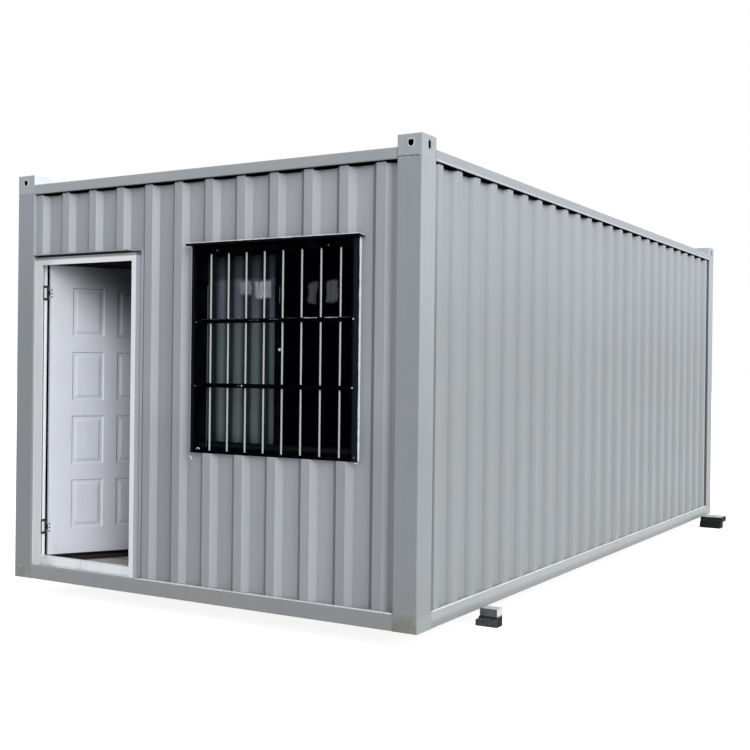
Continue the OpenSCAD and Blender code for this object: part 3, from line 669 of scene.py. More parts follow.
def strip(made, outline, depth, z0, z1, place):
    """A strip from a straight front edge back to the folds, as one closed mesh."""
    for (a, p), (b, q) in zip(outline, outline[1:]):
        if b - a > 0.5:
            loft(made, [[place(s, depth, z0), place(s, depth, z1), place(s, t, z1 + 1.2),
                         place(s, t, z0)] for s, t in ((a, p), (b, q))])


# The front wall's ledge starts beside the door, and a bead follows its wall in even steps.
DOOR_SIDE, FOOT_STEPS = -466, 40
for name, folds, start, end, place in WALLS:
    first = DOOR_SIDE if name == "front" else start
    ledge = bmesh.new()
    strip(ledge, ridge_line(first, end, *folds, -0.2), 6, 90.1, 91.6, place)
    keep(ledge, name + "_foot_ledge", "cabin", wall.material)
    foot = bmesh.new()
    line = [place(first + (end - first) * k / FOOT_STEPS, 3.4, 90.2)
            for k in range(FOOT_STEPS + 1)]
    lead = place(0, -1, 0.7) - place(0, 0, 0)
    bead(foot, line, lead, 0.0085, 0.0042, len(name), step=0.045, wander=0.35)
    keep(foot, name + "_foot_sealant", "cabin", sealant.material, smooth=True)


# --- Painted shade under the roof rails ---------------------------------------------------
# A black fill stands in for the shade between the sheets' tops and the rails, as a dark line
# with a deeper plug in each valley, its lower edge left rough.
shade_fill = mottled("black_foam", (0.0006, 0.0006, 0.0009), (0.0030, 0.0030, 0.0036), (40, 3),
               (900, 2), (0.5, 0.0008), (0.35, 0.7), Roughness=0.95, Specular_IOR_Level=0.0)
# A plug starts this far from a ridge's middle; shorter plugs than the least are left out.
PLUG_END, PLUG_LEAST, PLUG_STEPS = 31, 12, 12
PLUG_FOOT, PLUG_TOP = 2454.5, 2465


def plugs(made, folds, start, end, place, seed):
    """A rough-edged black plug of painted shade in each valley."""
    ridge, pitch, peak, valley = folds
    chance = random.Random(seed)
    k = math.floor((start - ridge) / pitch) - 1
    while ridge + k * pitch < end:
        a0 = max(ridge + k * pitch + PLUG_END, start + 1)
        a1 = min(ridge + (k + 1) * pitch - PLUG_END, end - 1)
        if a1 - a0 > PLUG_LEAST:
            rings = []
            for j in range(PLUG_STEPS + 1):
                t = j / PLUG_STEPS
                a = a0 + (a1 - a0) * t
                c = ridge + round((a - ridge) / pitch) * pitch
                slope = min(1, max(0, (abs(a - c) - FOLD_RIDGE) / (FOLD_FOOT - FOLD_RIDGE)))
                wall_at = peak + (valley - peak) * slope - 0.3
                low = PLUG_FOOT + 7 * max(0, 2 * t - 1) ** 3 + chance.uniform(-0.9, 0.9)
                face = min(peak + 6, wall_at - 0.4)
                rings.append([place(a, face, PLUG_TOP), place(a, face + 1, low),
                              place(a, wall_at, low + 1.5), place(a, wall_at, PLUG_TOP)])
            loft(made, rings)
        k += 1


for name, folds, start, end, place in WALLS:
    pieces = bmesh.new()
    strip(pieces, ridge_line(start, end, *folds, -0.3), folds[2] - 5, 2462.5, 2468.2, place)
    plugs(pieces, folds, start, end, place, len(name))
    keep(pieces, name + "_rail_foam", "cabin", shade_fill)


# --- Floor and underside ------------------------------------------------------------------
# Plywood deck on steel cross members, covered in worn grey-brown vinyl sheet, with the open
# leaf's shadow painted on it as a black band beside the leaf's foot. The steel under it has
# one thin coat of primer and gets road dirt and rust.

# The axis that the leaf turns about, in millimetres across and back, and how far open the
# leaf stands.
HINGE_X, HINGE_Y = -1273.5, 67.5
LEAF_OPEN = math.radians(59)


def from_hinge(finish):
    """Metres across and back from the axis that the leaf turns about."""
    return finish.x - HINGE_X / 1000, finish.y - (front + HINGE_Y / 1000)


vinyl = Finish("floor_vinyl")
vinyl_fleck = vinyl.noise(160, 3, seed=2)
vinyl_worn = vinyl.noise(6, 5, (1, 3, 1), seed=6, rough=0.65)
vinyl_base = vinyl.mix(vinyl_fleck.ramp(0.35, 0.65), (0.44, 0.41, 0.38), (0.60, 0.565, 0.53))
vinyl_seen = vinyl.mix(vinyl_worn.ramp(0.50, 0.66) * 0.7, vinyl_base, (0.10, 0.09, 0.08))
vinyl_x, vinyl_y = from_hinge(vinyl)
# Painted shadow: a black band on the floor along the open leaf's foot.
vinyl_off = vinyl_x * math.sin(LEAF_OPEN) - vinyl_y * math.cos(LEAF_OPEN) - 0.044
vinyl_along = vinyl_x * math.cos(LEAF_OPEN) + vinyl_y * math.sin(LEAF_OPEN)
vinyl_leaf_shadow = vinyl_off.band(-0.045, 0.045, 0.03) * vinyl_along.band(0.0, 0.78, 0.03)
vinyl_seen = vinyl.mix(vinyl_leaf_shadow * 0.93, vinyl_seen, (0.012, 0.012, 0.013))
vinyl.set(Base_Color=vinyl_seen, Roughness=0.5 + vinyl_worn * 0.3,
          Normal=vinyl.bump(vinyl_fleck, 0.15, 0.0006))
coat(vinyl.material, "floor_covering")

deck = Finish("deck_plywood")
deck_grain = deck.noise(3.0, 6, (1, 14, 14), seed=3, rough=0.6)
deck.set(Base_Color=deck.mix(deck_grain.ramp(0.3, 0.7), (0.20, 0.13, 0.07), (0.36, 0.25, 0.15)),
         Roughness=0.75, Normal=deck.bump(deck_grain, 0.3, 0.001))
coat(deck.material, "floor_deck")

members = Enamel("member_primer", (0.115, 0.12, 0.122), seed=23.0, dust=1.0, rough=0.6, rust=1.0)
coat(members.done(), "floor_cross_members")


# --- Linings and ceiling ------------------------------------------------------------------
# Insulated boards faced with thin grey prefinished steel, jointed every metre or so. The
# ceiling's boards are painted near-black as shade for the unlit room.
BOARD_WIDTH = 0.956
lining = Finish("grey_board")
lining_cloud = lining.noise(2.2, 3, seed=5)
lining_y = (lining.y / BOARD_WIDTH).maths("FRACT")
lining_seam = abs(lining_y - 0.5).ramp(0.0045, 0.002)
lining_tone = lining.mix(lining_cloud, (0.40, 0.41, 0.42), (0.50, 0.51, 0.52))
lining.set(Base_Color=lining.mix(lining_seam * 0.7, lining_tone, (0.12, 0.12, 0.12)),
           Roughness=0.6, Normal=lining.bump(1 - lining_seam, 0.4, 0.002))
coat(lining.material, "right_lining", "left_lining", "rear_lining", "front_lining_over_door",
     "front_lining_by_hinge", "front_lining_centre", "front_linings_at_window",
     "front_lining_corner")
coat(mottled("ceiling_board", (0.022, 0.023, 0.024), (0.034, 0.035, 0.037),
             (3, 3, (1, 1, 1), 2), (120, 2), (0.1, 0.0005), Roughness=0.8,
             Specular_IOR_Level=0.1), "ceiling")


# --- Door frame ---------------------------------------------------------------------------
# Folded steel frame in white gloss enamel, with a grey gasket in its rebate and a black strip
# on the lining's edge behind the hinges, standing in for the shade in the gap there. A steel
# rain cap is fixed over it.
class Gloss(Finish):
    """White gloss enamel, smeared by hands and splashed low down."""

    def __init__(self, name, colour, seed, grime=0.5):
        super().__init__(name)
        cloud = self.noise(3.5, 4, seed=seed)
        smear = self.noise(9, 5, (1, 1, 0.35), seed=seed + 4, rough=0.65)
        low = self.up(0.75, 0.1)
        self.tone = 1 + (cloud - 0.5) * 0.08
        self.paint = colour
        self.grey = (smear.ramp(0.45, 0.8) * 0.18 + smear.ramp(0.5, 0.72) * low * 0.45) * grime
        self.set(Roughness=0.32 + smear * 0.18, Specular_IOR_Level=0.35,
                 Normal=self.bump(self.noise(420, 1, seed=seed), 0.12, 0.0004))

    def done(self):
        clean = self.toned(self.paint, self.tone)
        return self.set(Base_Color=self.mix(self.grey, clean, (0.33, 0.33, 0.32)))


# The frame is darker on the front of its hinge side, and a painted shadow darkens the top
# of its head under the rain cap. Its lock-side jamb's outer edge was painted with the wall.
door_frame = Gloss("frame_white", (0.895, 0.905, 0.93), 3.0)
frame_face = door_frame.behind(0.0195, 0.0175)
door_frame.tone = (door_frame.tone * (1.06 - door_frame.x.ramp(-1.1, -1.26) * frame_face * 0.27)
                   * (1 - door_frame.up(2.037, 2.049) * 0.66)
                   * (1 - door_frame.x.ramp(-0.62, -0.51) * 0.055))
frame_rim = door_frame.x.ramp(-0.4734, -0.4726)
frame_side = door_frame.x.ramp(-0.4672, -0.4664) * door_frame.behind(0.022, 0.027)
for mask, painted in ((frame_rim, (0.43, 0.445, 0.46)), (frame_side, (0.46, 0.475, 0.49))):
    door_frame.paint = door_frame.mix(mask, door_frame.paint, painted)
coat(door_frame.done(), "door_jambs", "door_head", "door_threshold")
# The rain cap is near-black as painted shade for the recess under it, with a painted highlight
# along its top edge.
cap = Enamel("cap_enamel", (0.016, 0.017, 0.018), seed=29.0, dust=0.2)
cap.tone = cap.tone * (1 + cap.up(2.0722, 2.0732) * 20)
coat(cap.done(), "door_rain_cap")


def rubber(name, dark, light):
    """Ribbed rubber or plastic strip, dusty in places."""
    return mottled(name, dark, light, (60, 3), (500, 2), (0.2, 0.0004), Roughness=0.75,
                   Specular_IOR_Level=0.02)


def seal_tree():
    tree, inside, line = start_tree("seal_run", ("Width", "Float"), ("Sides", "Int"))
    radius = add_node(tree, "ShaderNodeMath", {0: inside["Width"], 1: 0.5}, operation="MULTIPLY")
    ring = add_node(tree, "GeometryNodeCurvePrimitiveCircle", {"Resolution": inside["Sides"],
                    "Radius": radius.outputs[0]}, mode="RADIUS")
    tube = add_node(tree, "GeometryNodeCurveToMesh", {"Curve": line,
                    "Profile Curve": ring.outputs["Curve"], "Fill Caps": True})
    return end_tree(tree, inside, add_node(tree, "GeometryNodeSetShadeSmooth",
                                           {0: tube.outputs[0]}))


def bar_of(made, x0, x1, y0, y1, z0, z1, place=spot, ease=0.6):
    """A strip along the axes with its four long edges eased off."""
    spans = sorted(((x1 - x0, 0), (y1 - y0, 1), (z1 - z0, 2)))
    low, high = (x0, y0, z0), (x1, y1, z1)
    long_axis, (u, v) = spans[2][1], sorted((spans[0][1], spans[1][1]))
    e = min(ease, spans[0][0] / 3)
    section = [(low[u] + e, low[v]), (high[u] - e, low[v]), (high[u], low[v] + e),
               (high[u], high[v] - e), (high[u] - e, high[v]), (low[u] + e, high[v]),
               (low[u], high[v] - e), (low[u], low[v] + e)]
    rings = []
    for end in (low[long_axis], high[long_axis]):
        ring = []
        for a, b in section:
            corner = [0, 0, 0]
            corner[u], corner[v], corner[long_axis] = a, b, end
            ring.append(place(*corner))
        rings.append(ring)
    loft(made, rings)


seal_runs = seal_tree()
gasket_grey = rubber("gasket_grey", (0.10, 0.105, 0.11), (0.17, 0.175, 0.18))
strip_black = rubber("strip_black", (0.0012, 0.0012, 0.0018), (0.0035, 0.0035, 0.0042))
REBATE = ((-1274.4, 153), (-1274.4, 2016.4), (-502.6, 2016.4), (-502.6, 153))
grow("door_gasket", "cabin", seal_runs, *lines([spot(x, 30, z) for x, z in REBATE]),
     "black_steel", width=0.005, sides=8, paint=gasket_grey)

# Painted shade: a black strip fills the gap behind the hinges.
edge_strip = bmesh.new()
bar_of(edge_strip, -1285, -1280.6, 62, 91, 152, 2019)
keep(edge_strip, "hinge_side_strip", "cabin", strip_black)
flange = bmesh.new()
for z0, z1 in ((152, 284.5), (382.5, 1786.5), (1884.5, 2018.6)):
    bar_of(flange, -1284.6, -1277.2, 52.3, 61.5, z0, z1)
keep(flange, "hinge_side_flange", "cabin", door_frame.material)

# A bead of white sealant closes the joint between the frame and the corner post.
frame_beads = bmesh.new()
bead(frame_beads, [spot(-1333, 9.6, 95), spot(-1333, 9.6, 2066)], Vector((0.3, -1, 0)),
     0.003, 0.002, 22)
keep(frame_beads, "door_frame_sealant", "cabin", sealant.material, smooth=True)


# --- Door leaf ----------------------------------------------------------------------------
# Two pressed steel skins with eight raised panels each, hung on two steel hinges and
# painted white. A lever handle on a long plate sits near its free edge, over a lock whose
# face shows in the leaf's edge.
leaf = Gloss("leaf_white", (0.80, 0.82, 0.895), 9.0, 0.6)
leaf_across, leaf_back = from_hinge(leaf)
leaf_far = (leaf_across ** 2 + leaf_back ** 2) ** 0.5
# A painted shadow darkens the leaf's top, most toward its free edge.
leaf_shadow = (leaf.z - base + (leaf_far - 0.525) * 0.85).ramp(1.33, 1.94)
leaf_shadow = leaf_shadow * leaf_far.ramp(-0.03, 0.28)
# The panels' slopes: painted shade on those that face the free edge and the ground, and a
# painted highlight on those that face the hinge edge.
leaf_x, leaf_y, leaf_z = leaf.facing()
leaf_turn = leaf_x * math.cos(LEAF_OPEN) + leaf_y * math.sin(LEAF_OPEN)
leaf_inward_shade = leaf_turn.ramp(0.05, 0.7) * leaf_turn.ramp(0.95, 0.85)
leaf_outward_highlight = leaf_turn.ramp(-0.05, -0.7) * leaf_turn.ramp(-0.95, -0.85)
leaf_down_shade = leaf_z.ramp(-0.05, -0.7) * leaf_z.ramp(-0.95, -0.85)
leaf.tone = (leaf.tone * (1 - leaf_shadow * 0.9)
             * (1 - leaf_inward_shade * (0.55 + leaf_far.ramp(0.35, 0.5) * 0.33))
             * (1 - leaf_down_shade * 0.35) * (1 + leaf_outward_highlight * 0.28)
             * (0.84 + leaf_far.ramp(0.0, 0.45) * 0.30))
coat(leaf.done(), "door_leaf")

steel = Finish("plated_steel")
steel_scratch = steel.noise(70, 4, (1, 1, 9), seed=3)
steel.set(Base_Color=steel.mix(steel_scratch, (0.50, 0.51, 0.53), (0.66, 0.67, 0.69)),
          Metallic=0.85, Roughness=0.28 + steel_scratch * 0.2,
          Normal=steel.bump(steel_scratch, 0.12, 0.0004))
coat(steel.material, "door_handle")

# The hinges' frame plates are white in the middle, with painted shade round their edges.
HINGE_HEIGHTS = (333.5, 1835.5)
hinge_paint = Gloss("hinge_white", (0.84, 0.855, 0.87), 15.0, 0.4)
hinge_high = hinge_paint.z - base
hinge_low, hinge_top = (abs(hinge_high - z / 1000) for z in HINGE_HEIGHTS)
hinge_edge_shade = (hinge_low.least(hinge_top).ramp(0.0305, 0.0325)
              .most(hinge_paint.behind(0.053, 0.055)).most(hinge_paint.behind(0.031, 0.029)))
hinge_paint.tone = hinge_paint.tone * (1 - hinge_edge_shade * 0.97)
coat(hinge_paint.done(), "door_frame_hinges")
coat(rubber("dark_steel", (0.02, 0.021, 0.022), (0.05, 0.05, 0.052)), "door_leaf_hinges")


def lathe(made, centre, axis, profile, sides=16):
    """A turned solid: rings given as distance along the axis and radius, in millimetres."""
    lead = Vector(axis).normalized()
    side = lead.orthogonal().normalized()
    other = lead.cross(side)
    angles = [2 * math.pi * k / sides for k in range(sides)]
    loft(made, [[centre + lead * (along / 1000)
                 + (side * math.cos(a) + other * math.sin(a)) * (radius / 1000) for a in angles]
                for along, radius in profile])


# Where the shut leaf's hinge edge and outer face stand.
LEAF_EDGE, LEAF_FACE = -1269.5, 23.5


def door_spot(across, out, z):
    """A place on the leaf as it stands open: from its hinge edge, out of its outer face."""
    x, y = LEAF_EDGE + across - HINGE_X, LEAF_FACE - out - HINGE_Y
    return spot(HINGE_X + x * math.cos(LEAF_OPEN) - y * math.sin(LEAF_OPEN),
                HINGE_Y + x * math.sin(LEAF_OPEN) + y * math.cos(LEAF_OPEN), z)


SCREW = ((-0.4, 3.6), (0.3, 3.6), (0.9, 2.9), (1.2, 1.6), (1.25, 0.3))
LARGE_SCREW = ((-0.4, 5.6), (0.4, 5.6), (1.1, 4.4), (1.2, 1.6), (1.25, 0.3))
face_out = door_spot(0, 10, 0) - door_spot(0, 0, 0)
face_back = -face_out
edge_out = door_spot(10, 0, 0) - door_spot(0, 0, 0)
hinge_screws = bmesh.new()
for z in HINGE_HEIGHTS:
    for rise in (-26, -3, 20):
        lathe(hinge_screws, door_spot(8, 0, z + rise), face_out, LARGE_SCREW)
keep(hinge_screws, "leaf_hinge_screws", "door",
     rubber("screw_dark", (0.05, 0.05, 0.052), (0.10, 0.10, 0.102)))

# The lock's face with its screws and latch, then on each side the plate's screws, the key
# cylinder and the handle's rose.
LATCH_EDGE, HANDLE_IN = 765.2, 704
KEYHOLE = ((-0.3, 9.5), (1.6, 9.5), (2.4, 8.6), (2.5, 6.0), (1.2, 5.4), (1.2, 0.5))
ROSE = ((-0.3, 15), (1.8, 15), (3.4, 13.2), (3.8, 9.4))
lock_parts = bmesh.new()
bar_of(lock_parts, LATCH_EDGE - 1.3, LATCH_EDGE, -30, -8, 975, 1135, door_spot, 0.4)
for z in (985, 1125):
    lathe(lock_parts, door_spot(LATCH_EDGE, -19, z), edge_out, SCREW)
bar_of(lock_parts, LATCH_EDGE, LATCH_EDGE + 2.2, -26, -13, 1072, 1096, door_spot, 0.8)
for side, out in ((8, face_out), (-46, face_back)):
    for z in (950, 1150):
        lathe(lock_parts, door_spot(HANDLE_IN, side, z), out, SCREW)
    lathe(lock_parts, door_spot(HANDLE_IN, side, 1005), out, KEYHOLE, 24)
    lathe(lock_parts, door_spot(HANDLE_IN, side, 1080), out, ROSE, 28)
keep(lock_parts, "lock_and_screws", "door", steel.material)

strike = bmesh.new()
bar_of(strike, -501.4, -500.1, 26, 48, 1010, 1150)
for z in (1020, 1140):
    lathe(strike, spot(-501.4, 37, z), (-1, 0, 0), SCREW)
keep(strike, "strike_plate", "cabin", steel.material)

# A black rubber sweep closes the gap under the leaf.
sweep = bmesh.new()
bar_of(sweep, 4, 760, -27, -11, 151.6, 155.7, door_spot)
keep(sweep, "leaf_sweep", "door", strip_black)


# --- Window -------------------------------------------------------------------------------
# A black aluminium slider in a black steel casing, behind welded bars and cross bars. A
# gathered curtain hangs inside its left sash, and the right pane is opaque near-black as
# painted shade for the dark room. White sealant was run by hand round the casing and along
# the awning over it.
def black_metal(name, dark, light, rough=0.6, sheen=0.0):
    """Black paint or anodising, faintly cloudy and scratched."""
    return mottled(name, dark, light, (14, 4, (1, 1, 0.3), 8), (40, 4, (1, 1, 0.2), 3),
                   (0.15, 0.0006), (0.35, 0.75), Roughness=rough, Specular_IOR_Level=sheen)


ANODISED = ((0.0010, 0.0012, 0.0022), (0.0046, 0.0055, 0.0070))
coat(black_metal("black_aluminium", *ANODISED), "window_frame")

# The sashes' bottom rails are dusty: greener on the left one, browner on the right.
sash = Finish("sash_aluminium")
sash_cloud = sash.noise(14, 4, (0.4, 1, 1), seed=8)
sash_black = sash.mix(sash_cloud.ramp(0.35, 0.75), *ANODISED)
sash_dust = sash.mix(sash.x.ramp(0.55, 0.56), (0.0045, 0.011, 0.012), (0.0125, 0.0115, 0.0135))
sash_low = sash.up(0.938, 0.926) * (0.55 + sash_cloud * 0.7)
sash.set(Base_Color=sash.mix(sash_low, sash_black, sash_dust), Roughness=0.6,
         Specular_IOR_Level=0.0,
         Normal=sash.bump(sash.noise(40, 4, (0.2, 1, 1), seed=3), 0.15, 0.0006))
coat(sash.material, "window_sashes")

# The bars' frame is bluer and a little lighter down its right edge, green with damp at its
# foot, and grey where dust lies on its left edge.
bar_frame = Finish("bar_frame_black")
bar_patch = bar_frame.noise(16, 4, (1, 1, 0.35), seed=8)
bar_black = bar_frame.mix(bar_patch.ramp(0.35, 0.75), (0.0008, 0.0009, 0.0020),
                          (0.0036, 0.0040, 0.0058))
bar_edge = bar_frame.x.ramp(1.052, 1.078)
bar_foot = bar_frame.up(1.05, 0.89)
bar_damp = bar_frame.mix(bar_foot, (0.013, 0.017, 0.026), (0.014, 0.019, 0.018))
bar_side = bar_frame.x.ramp(-0.020, -0.034)
bar_seen = bar_frame.mix(bar_edge, bar_black, bar_damp)
bar_frame.set(Base_Color=bar_frame.mix(bar_side * 0.8, bar_seen, (0.010, 0.012, 0.014)),
              Roughness=0.6, Specular_IOR_Level=0.0,
              Normal=bar_frame.bump(bar_frame.noise(9, 3), 0.2, 0.003))
coat(bar_frame.material, "window_bar_frame")

# The casing is black within the bars' frame, and its outer sides were painted with the wall.
casing = Enamel("casing_enamel", (0.36, 0.38, 0.395), seed=19.0, dust=0.3)
casing_out = (casing.x.ramp(1.1012, 1.1026) + casing.x.ramp(-0.0452, -0.0466)
              + casing.up(0.8718, 0.8704)).least(1.0)
casing_wall = casing.toned(casing.paint, casing.tone)
casing.set(Base_Color=casing.mix(casing_out, (0.0010, 0.0011, 0.0022), casing_wall),
           Specular_IOR_Level=0.03)
coat(casing.material, "window_casing")
# The awning is black enamel, whose black also stands in for the shade under it as painted shade.
coat(black_metal("black_enamel", (0.0012, 0.0013, 0.0024), (0.0045, 0.0050, 0.0068), 0.5, 0.03),
     "window_awning")

bar_paint = Finish("bar_enamel")
bar_wear = bar_paint.noise(35, 4, (1, 1, 0.4), seed=4)
bar_chip = bar_paint.noise(60, 3, (1, 1, 0.5), seed=9).ramp(0.68, 0.74)
bar_clean = bar_paint.mix(bar_wear, (0.42, 0.425, 0.42), (0.57, 0.572, 0.568))
bar_paint.set(Base_Color=bar_paint.mix(bar_chip, bar_clean, (0.12, 0.11, 0.10)), Roughness=0.4,
              Specular_IOR_Level=0.3, Normal=bar_paint.bump(bar_wear, 0.2, 0.0006))
coat(bar_paint.material, "window_bars")

# The left pane is dusty, the right one opaque near-black as painted shade for the dark room,
# and both carry pale painted reflections high up.
glass = Finish("window_glass")
glass_streak = glass.noise(1.0, 4, (26, 1, 1.6), seed=2.2, rough=0.6)
glass_blot = glass.noise(9, 4, (1, 1, 1.4), seed=4, rough=0.6) - 0.5
glass_left = glass.x.ramp(0.556, 0.552)
glass_x, glass_z = glass.x + glass_blot * 0.05, glass.z - base + glass_blot * 0.06
reflection_streaks = 0.6 + glass.noise(1.0, 4, (60, 1, 5), seed=7.3, rough=0.6).ramp(0.35, 0.65) * 0.4


def glass_reflection(across, height):
    """A pale painted reflection with soft edges, from its low end, high end and edge each way."""
    return glass_x.band(*across) * glass_z.band(*height)


left_reflections = (glass_reflection((0.286, 0.346, 0.018), (1.797, 1.856, 0.024)) * 0.75).most(
    glass_reflection((0.392, 0.488, 0.014), (1.768, 1.850, 0.020))) * reflection_streaks
right_reflections = (glass_reflection((0.746, 0.786, 0.016), (1.743, 1.830, 0.020)) * 0.75).most(
    glass_reflection((0.868, 0.924, 0.014), (1.752, 1.843, 0.018))) * (0.35 + reflection_streaks * 0.65)
glass_film = glass.mix(glass_streak.ramp(0.4, 0.7), (0.006, 0.009, 0.010), (0.022, 0.028, 0.031))
glass_tint = glass.mix(glass_left, (0.0008, 0.0008, 0.0020), glass_film)
glass_pale = glass.mix(left_reflections, glass_tint, (0.44, 0.47, 0.50))
glass.set(Base_Color=glass.mix(right_reflections, glass_pale, (0.095, 0.098, 0.102)), Roughness=0.08,
          Specular_IOR_Level=0.0,
          Alpha=(1.0 - glass_left * 0.62 + left_reflections * 0.5).least(1.0))
coat(glass.material, "window_glass")

# The curtain's folds stand evenly, with painted shade in their creases and at its head.
cloth = Finish("curtain_cloth")
cloth_weave = cloth.noise(300, 2, (1, 1, 1.5), seed=3)
cloth_cloud = cloth.noise(4, 3, (1.5, 1, 0.7), seed=5)
cloth_high = cloth.up(1.60, 1.66)
cloth_head_shade = cloth.up(1.86, 1.90) * 0.66
cloth_crease_shade = cloth.behind(0.136, 0.121)
cloth_hue = cloth.mix(cloth_high, (0.66, 0.82, 0.82), (0.68, 0.76, 0.92))
cloth_tone = (0.14 + cloth_crease_shade ** 1.4) * (0.9 + cloth_cloud * 0.25) * (1 - cloth_head_shade)
cloth.set(Base_Color=cloth.toned(cloth_hue, cloth_tone), Roughness=0.9, Specular_IOR_Level=0.1,
          Normal=cloth.bump(cloth_weave, 0.2, 0.0005))


# The cloth's rows and columns, its thickness, and how far back it hangs and folds.
CLOTH_ACROSS, CLOTH_UP, CLOTH_THICK, CLOTH_BACK, CLOTH_FOLD = 110, 12, 1.2, 137, 17


def curtain(x0, x1, z0, z1, crease, pitch):
    """Gathered cloth as one thin closed sheet, its folds drifting a little as they fall."""
    made = bmesh.new()
    chance = random.Random(12)
    drift = [chance.uniform(-5, 5) for _ in range(8)]
    columns = [x0 + (x1 - x0) * k / CLOTH_ACROSS for k in range(CLOTH_ACROSS + 1)]
    rows = [z0 + (z1 - z0) * k / CLOTH_UP for k in range(CLOTH_UP + 1)]
    faces = []
    for back in (0, CLOTH_THICK):
        grid = []
        for z in rows:
            line = []
            for x in columns:
                k = (x - crease) / pitch
                lean = drift[int(k) % 8] * (z1 - z) / (z1 - z0)
                wave = math.sin(math.pi * (k + lean / pitch)) ** 2
                line.append(made.verts.new(spot(x, CLOTH_BACK - CLOTH_FOLD * wave + back, z)))
            grid.append(line)
        faces.append(grid)
        for low, high in zip(grid, grid[1:]):
            for k in range(CLOTH_ACROSS):
                made.faces.new([low[k], low[k + 1], high[k + 1], high[k]])
    hems = [grid[0] + [row[-1] for row in grid[1:]] + grid[-1][-2::-1]
            + [row[0] for row in grid[-2:0:-1]] for grid in faces]
    for k, (outer, inner) in enumerate(zip(*hems)):
        j = (k + 1) % len(hems[0])
        made.faces.new([outer, hems[0][j], hems[1][j], inner])
    return made


keep(curtain(-45, 545, 885, 2035, 22.5, 127), "curtain", "cabin", cloth.material,
     smooth=True)
ROD = ((0, 8), (1, 9), (8, 9), (9, 5), (1160, 5), (1161, 9), (1168, 9), (1169, 8))
rod = bmesh.new()
lathe(rod, spot(-60, 129, 2046), (1, 0, 0), ROD)
for x in (-40, 1090):
    bar_of(rod, x - 6, x + 6, 112.3, 131, 2041, 2051)
keep(rod, "curtain_rod", "cabin", steel.material)

# Sealant beads round the casing, and dabs where the gun was lifted: each run's ends, the way
# it faces, its width and rise, and its seed.
SEAL_RUNS = (
    ((-72, -6.5, 2090.2), (1118, -6.5, 2090.2), (0, -0.35, 1), 7, 4.6, 31),
    ((1117.4, -5, 2090), (1117.4, 44, 2081.6), (0.4, 0, 1), 6, 4.0, 32),
    ((-71.4, -5, 2090), (-71.4, 44, 2081.6), (-0.4, 0, 1), 6, 4.0, 33),
    ((1105.2, 24, 2077), (1105.2, 24, 871), (1, -0.8, 0), 11, 5.5, 34),
    ((-48.6, 23, 2077), (-48.6, 23, 871), (-1, -1, 0), 5, 2.6, 35),
    ((1076, 19.6, 861), (1107, 19.6, 865), (0, -1, 0.4), 7, 3.6, 36),
    ((-48, 19.6, 853), (-30, 19.6, 826), (0, -1, 0.3), 9, 4.0, 37),
    ((-73, 10, 2075.6), (-49, 14, 2075.6), (0, -0.6, -0.8), 10, 7, 38),
)
window_beads = bmesh.new()
for a, b, out, width, rise, seed in SEAL_RUNS:
    bead(window_beads, [spot(*a), spot(*b)], Vector(out), width / 1000, rise / 1000, seed)
keep(window_beads, "window_sealant", "cabin", sealant.material, smooth=True)

# Black gaskets hold the panes, and a worn one shows grey beside the left pane; a grey strip
# on the meeting stile is a painted highlight.
panes = []
for x0, x1, y in ((39.5, 527.5, 57.2), (580.5, 1016.5, 77.2)):
    corners = ((x0, 936.5), (x1, 936.5), (x1, 2011.5), (x0, 2011.5), (x0, 936.5))
    panes.append([spot(x, y, z) for x, z in corners])
grow("pane_gaskets", "cabin", seal_runs, *lines(*panes), "black_steel",
     width=0.005, sides=8, paint=strip_black)
worn_and_highlight_lines = bmesh.new()
bar_of(worn_and_highlight_lines, 46, 50.5, 50.6, 52.4, 1277, 1844, ease=0.5)
bar_of(worn_and_highlight_lines, 46.5, 49, 50.8, 52.4, 905, 1277, ease=0.4)
bar_of(worn_and_highlight_lines, 559, 563, 50.2, 52.4, 1734, 1823, ease=0.5)
keep(worn_and_highlight_lines, "worn_gasket", "cabin",
     rubber("gasket_worn", (0.085, 0.08, 0.075), (0.17, 0.16, 0.15)))

# Bolts hold the bars' frame, some of them bright, a latch sits on the meeting stile, and a
# small hook is welded to the frame's bottom left corner.
BRIGHT_BOLTS = ((1067, 1637, 3.4), (1064, 1267, 3.4), (326, 1266, 3.6))
DULL_BOLTS = ((140, 2044, 4.0), (904, 2039, 4.0), (-11, 1632, 3.6), (-15, 1260, 3.6),
              (1079, 893, 4.4))
LATCH = ((0, 9), (2.5, 9), (4, 7), (8, 5.5), (9, 4), (9.2, 0.4))
HOOK_X, HOOK_Z, HOOK_RADIUS = 13, 889, 11


def bolt_heads(rows):
    """Domed heads on thin washers, at places across and up and of a radius."""
    made = bmesh.new()
    for x, z, r in rows:
        head = ((0, r + 1.2), (1.0, r + 1.2), (1.2, r), (2.6, r), (4.2, r * 0.72), (4.9, r * 0.3),
                (5.0, 0.3))
        lathe(made, spot(x, 20.1, z), (0, -1, 0), head)
    return made


keep(bolt_heads(DULL_BOLTS), "window_dull_bolts", "cabin",
     rubber("dull_zinc", (0.10, 0.10, 0.10), (0.20, 0.20, 0.20)))
bolts = bolt_heads(BRIGHT_BOLTS)
lathe(bolts, spot(565, 52, 1472), (0, -1, 0), LATCH, 18)
hook = [spot(HOOK_X + HOOK_RADIUS * math.cos(a), 19.6, HOOK_Z + HOOK_RADIUS * math.sin(a))
        for a in (math.radians(v) for v in range(10, 171, 20))]
bead(bolts, hook, Vector((0, -1, 0)), 0.006, 0.003, 3, step=0.003, wander=0.1)
keep(bolts, "window_bolts", "cabin", steel.material)

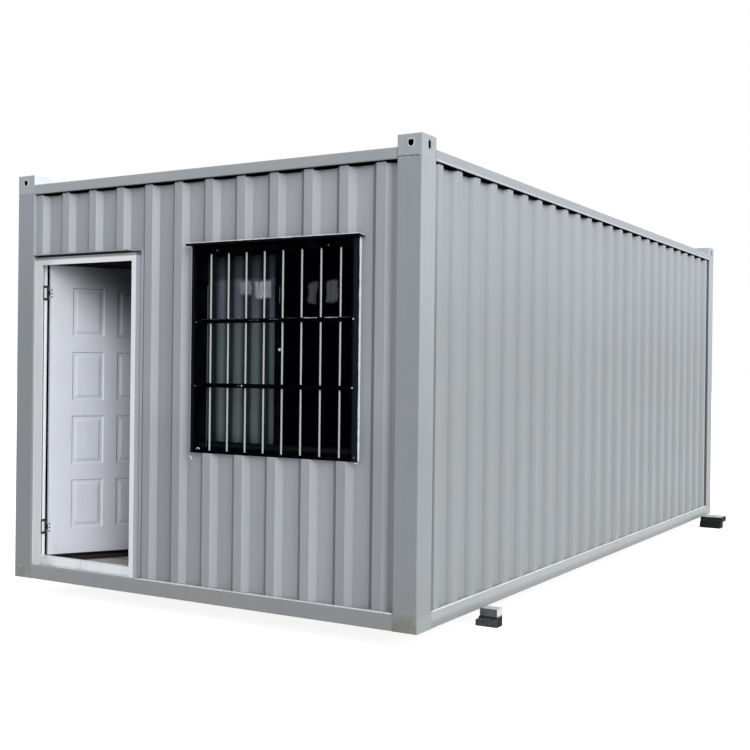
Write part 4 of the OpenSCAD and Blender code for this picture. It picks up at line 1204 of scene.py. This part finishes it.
# Pale strips along the cross bars' top edges are painted highlights where they catch the
# light, brightest on the right: each strip's ends, height and width.
GLINTS = ((741, 835, 1648.2, 4.5), (881, 973, 1648.2, 4.5), (369, 440, 1640, 3.0),
        (509, 577, 1643, 3.0), (290, 318, 1268, 4.0), (25, 88, 1649, 1.6), (110, 205, 1647, 1.8),
        (225, 335, 1648, 1.4), (598, 705, 1649, 1.6), (985, 1050, 1648, 2.0))
glint_beads = bmesh.new()
for x0, x1, z, width in GLINTS:
    bead(glint_beads, [spot(x0, 19.9, z - 1.5), spot(x1, 19.9, z - 1.5)], Vector((0, -1, 0.4)),
         width / 1000, 0.0007, x0, step=0.007, wander=0.5)
worn_edge = Finish("worn_edge")
glint_dim = worn_edge.toned((0.15, 0.15, 0.155), worn_edge.noise(14, 3, seed=4).ramp(0.35, 0.65))
glint_bright = worn_edge.x.ramp(0.72, 0.74) * worn_edge.x.ramp(0.99, 0.97)
glint_seen = worn_edge.mix(glint_bright, glint_dim, (0.42, 0.42, 0.43))
worn_edge.set(Base_Color=glint_seen, Roughness=0.5,
              Normal=worn_edge.bump(worn_edge.noise(200, 2), 0.3, 0.0004))
keep(glint_beads, "worn_bar_edges", "cabin", worn_edge.material, smooth=True)


# --- Support blocks -----------------------------------------------------------------------
# Rough dark concrete pads under the side rails, on a lower layer of worn black rubber pads.
# Their tops and the concrete's ends are painted pale as painted light, and the rear pads are
# darkened as painted shade.
def pad(name, dark, light, dusty, outer, seed, rough, scale):
    """A rough block: its two colours, its top's painted light, its ends' colour, and its grain."""
    block = Finish(name)
    rear = block.rear_half()
    grit = block.noise(scale, 5, seed=seed, rough=0.7)
    stain = block.noise(9, 4, seed=seed + 2)
    # The rear pads are darkened as painted shade.
    light = block.toned(light, 1 - rear * 0.84)
    dark = block.toned(dark, 1 - rear * 0.94)
    tone = block.mix(grit.ramp(0.3, 0.7), dark, light)
    stained = block.mix(stain.ramp(0.5, 0.8) * 0.5, tone, (0.02, 0.02, 0.021))
    # Painted light: the top is paler.
    top = block.facing()[2].ramp(0.5, 0.9) * (0.55 + stain * 0.6)
    end = abs(block.facing()[0]).ramp(0.5, 0.9)
    outer = block.toned(outer, 1 - rear * 0.99)
    joint = (block.z - base).band(-0.056, -0.044, 0.004)
    faced = block.mix(end * (0.9 + stain * 0.15), stained, outer)
    faced = block.mix(joint * 0.8, faced, (0.012, 0.012, 0.013))
    return block.set(Base_Color=block.mix(top, faced, dusty), Roughness=rough,
                     Specular_IOR_Level=0.2, Normal=block.bump(grit, 0.6, 0.003))


coat(pad("damp_concrete", (0.10, 0.102, 0.106), (0.21, 0.215, 0.22), (0.62, 0.62, 0.615),
         (0.72, 0.72, 0.715), 3.0, 0.85, 90), "upper_support_blocks")
coat(pad("black_pad", (0.045, 0.050, 0.056), (0.11, 0.118, 0.13), (0.24, 0.24, 0.24),
         (0.004, 0.004, 0.005), 8.0, 0.75, 60), "lower_support_blocks")
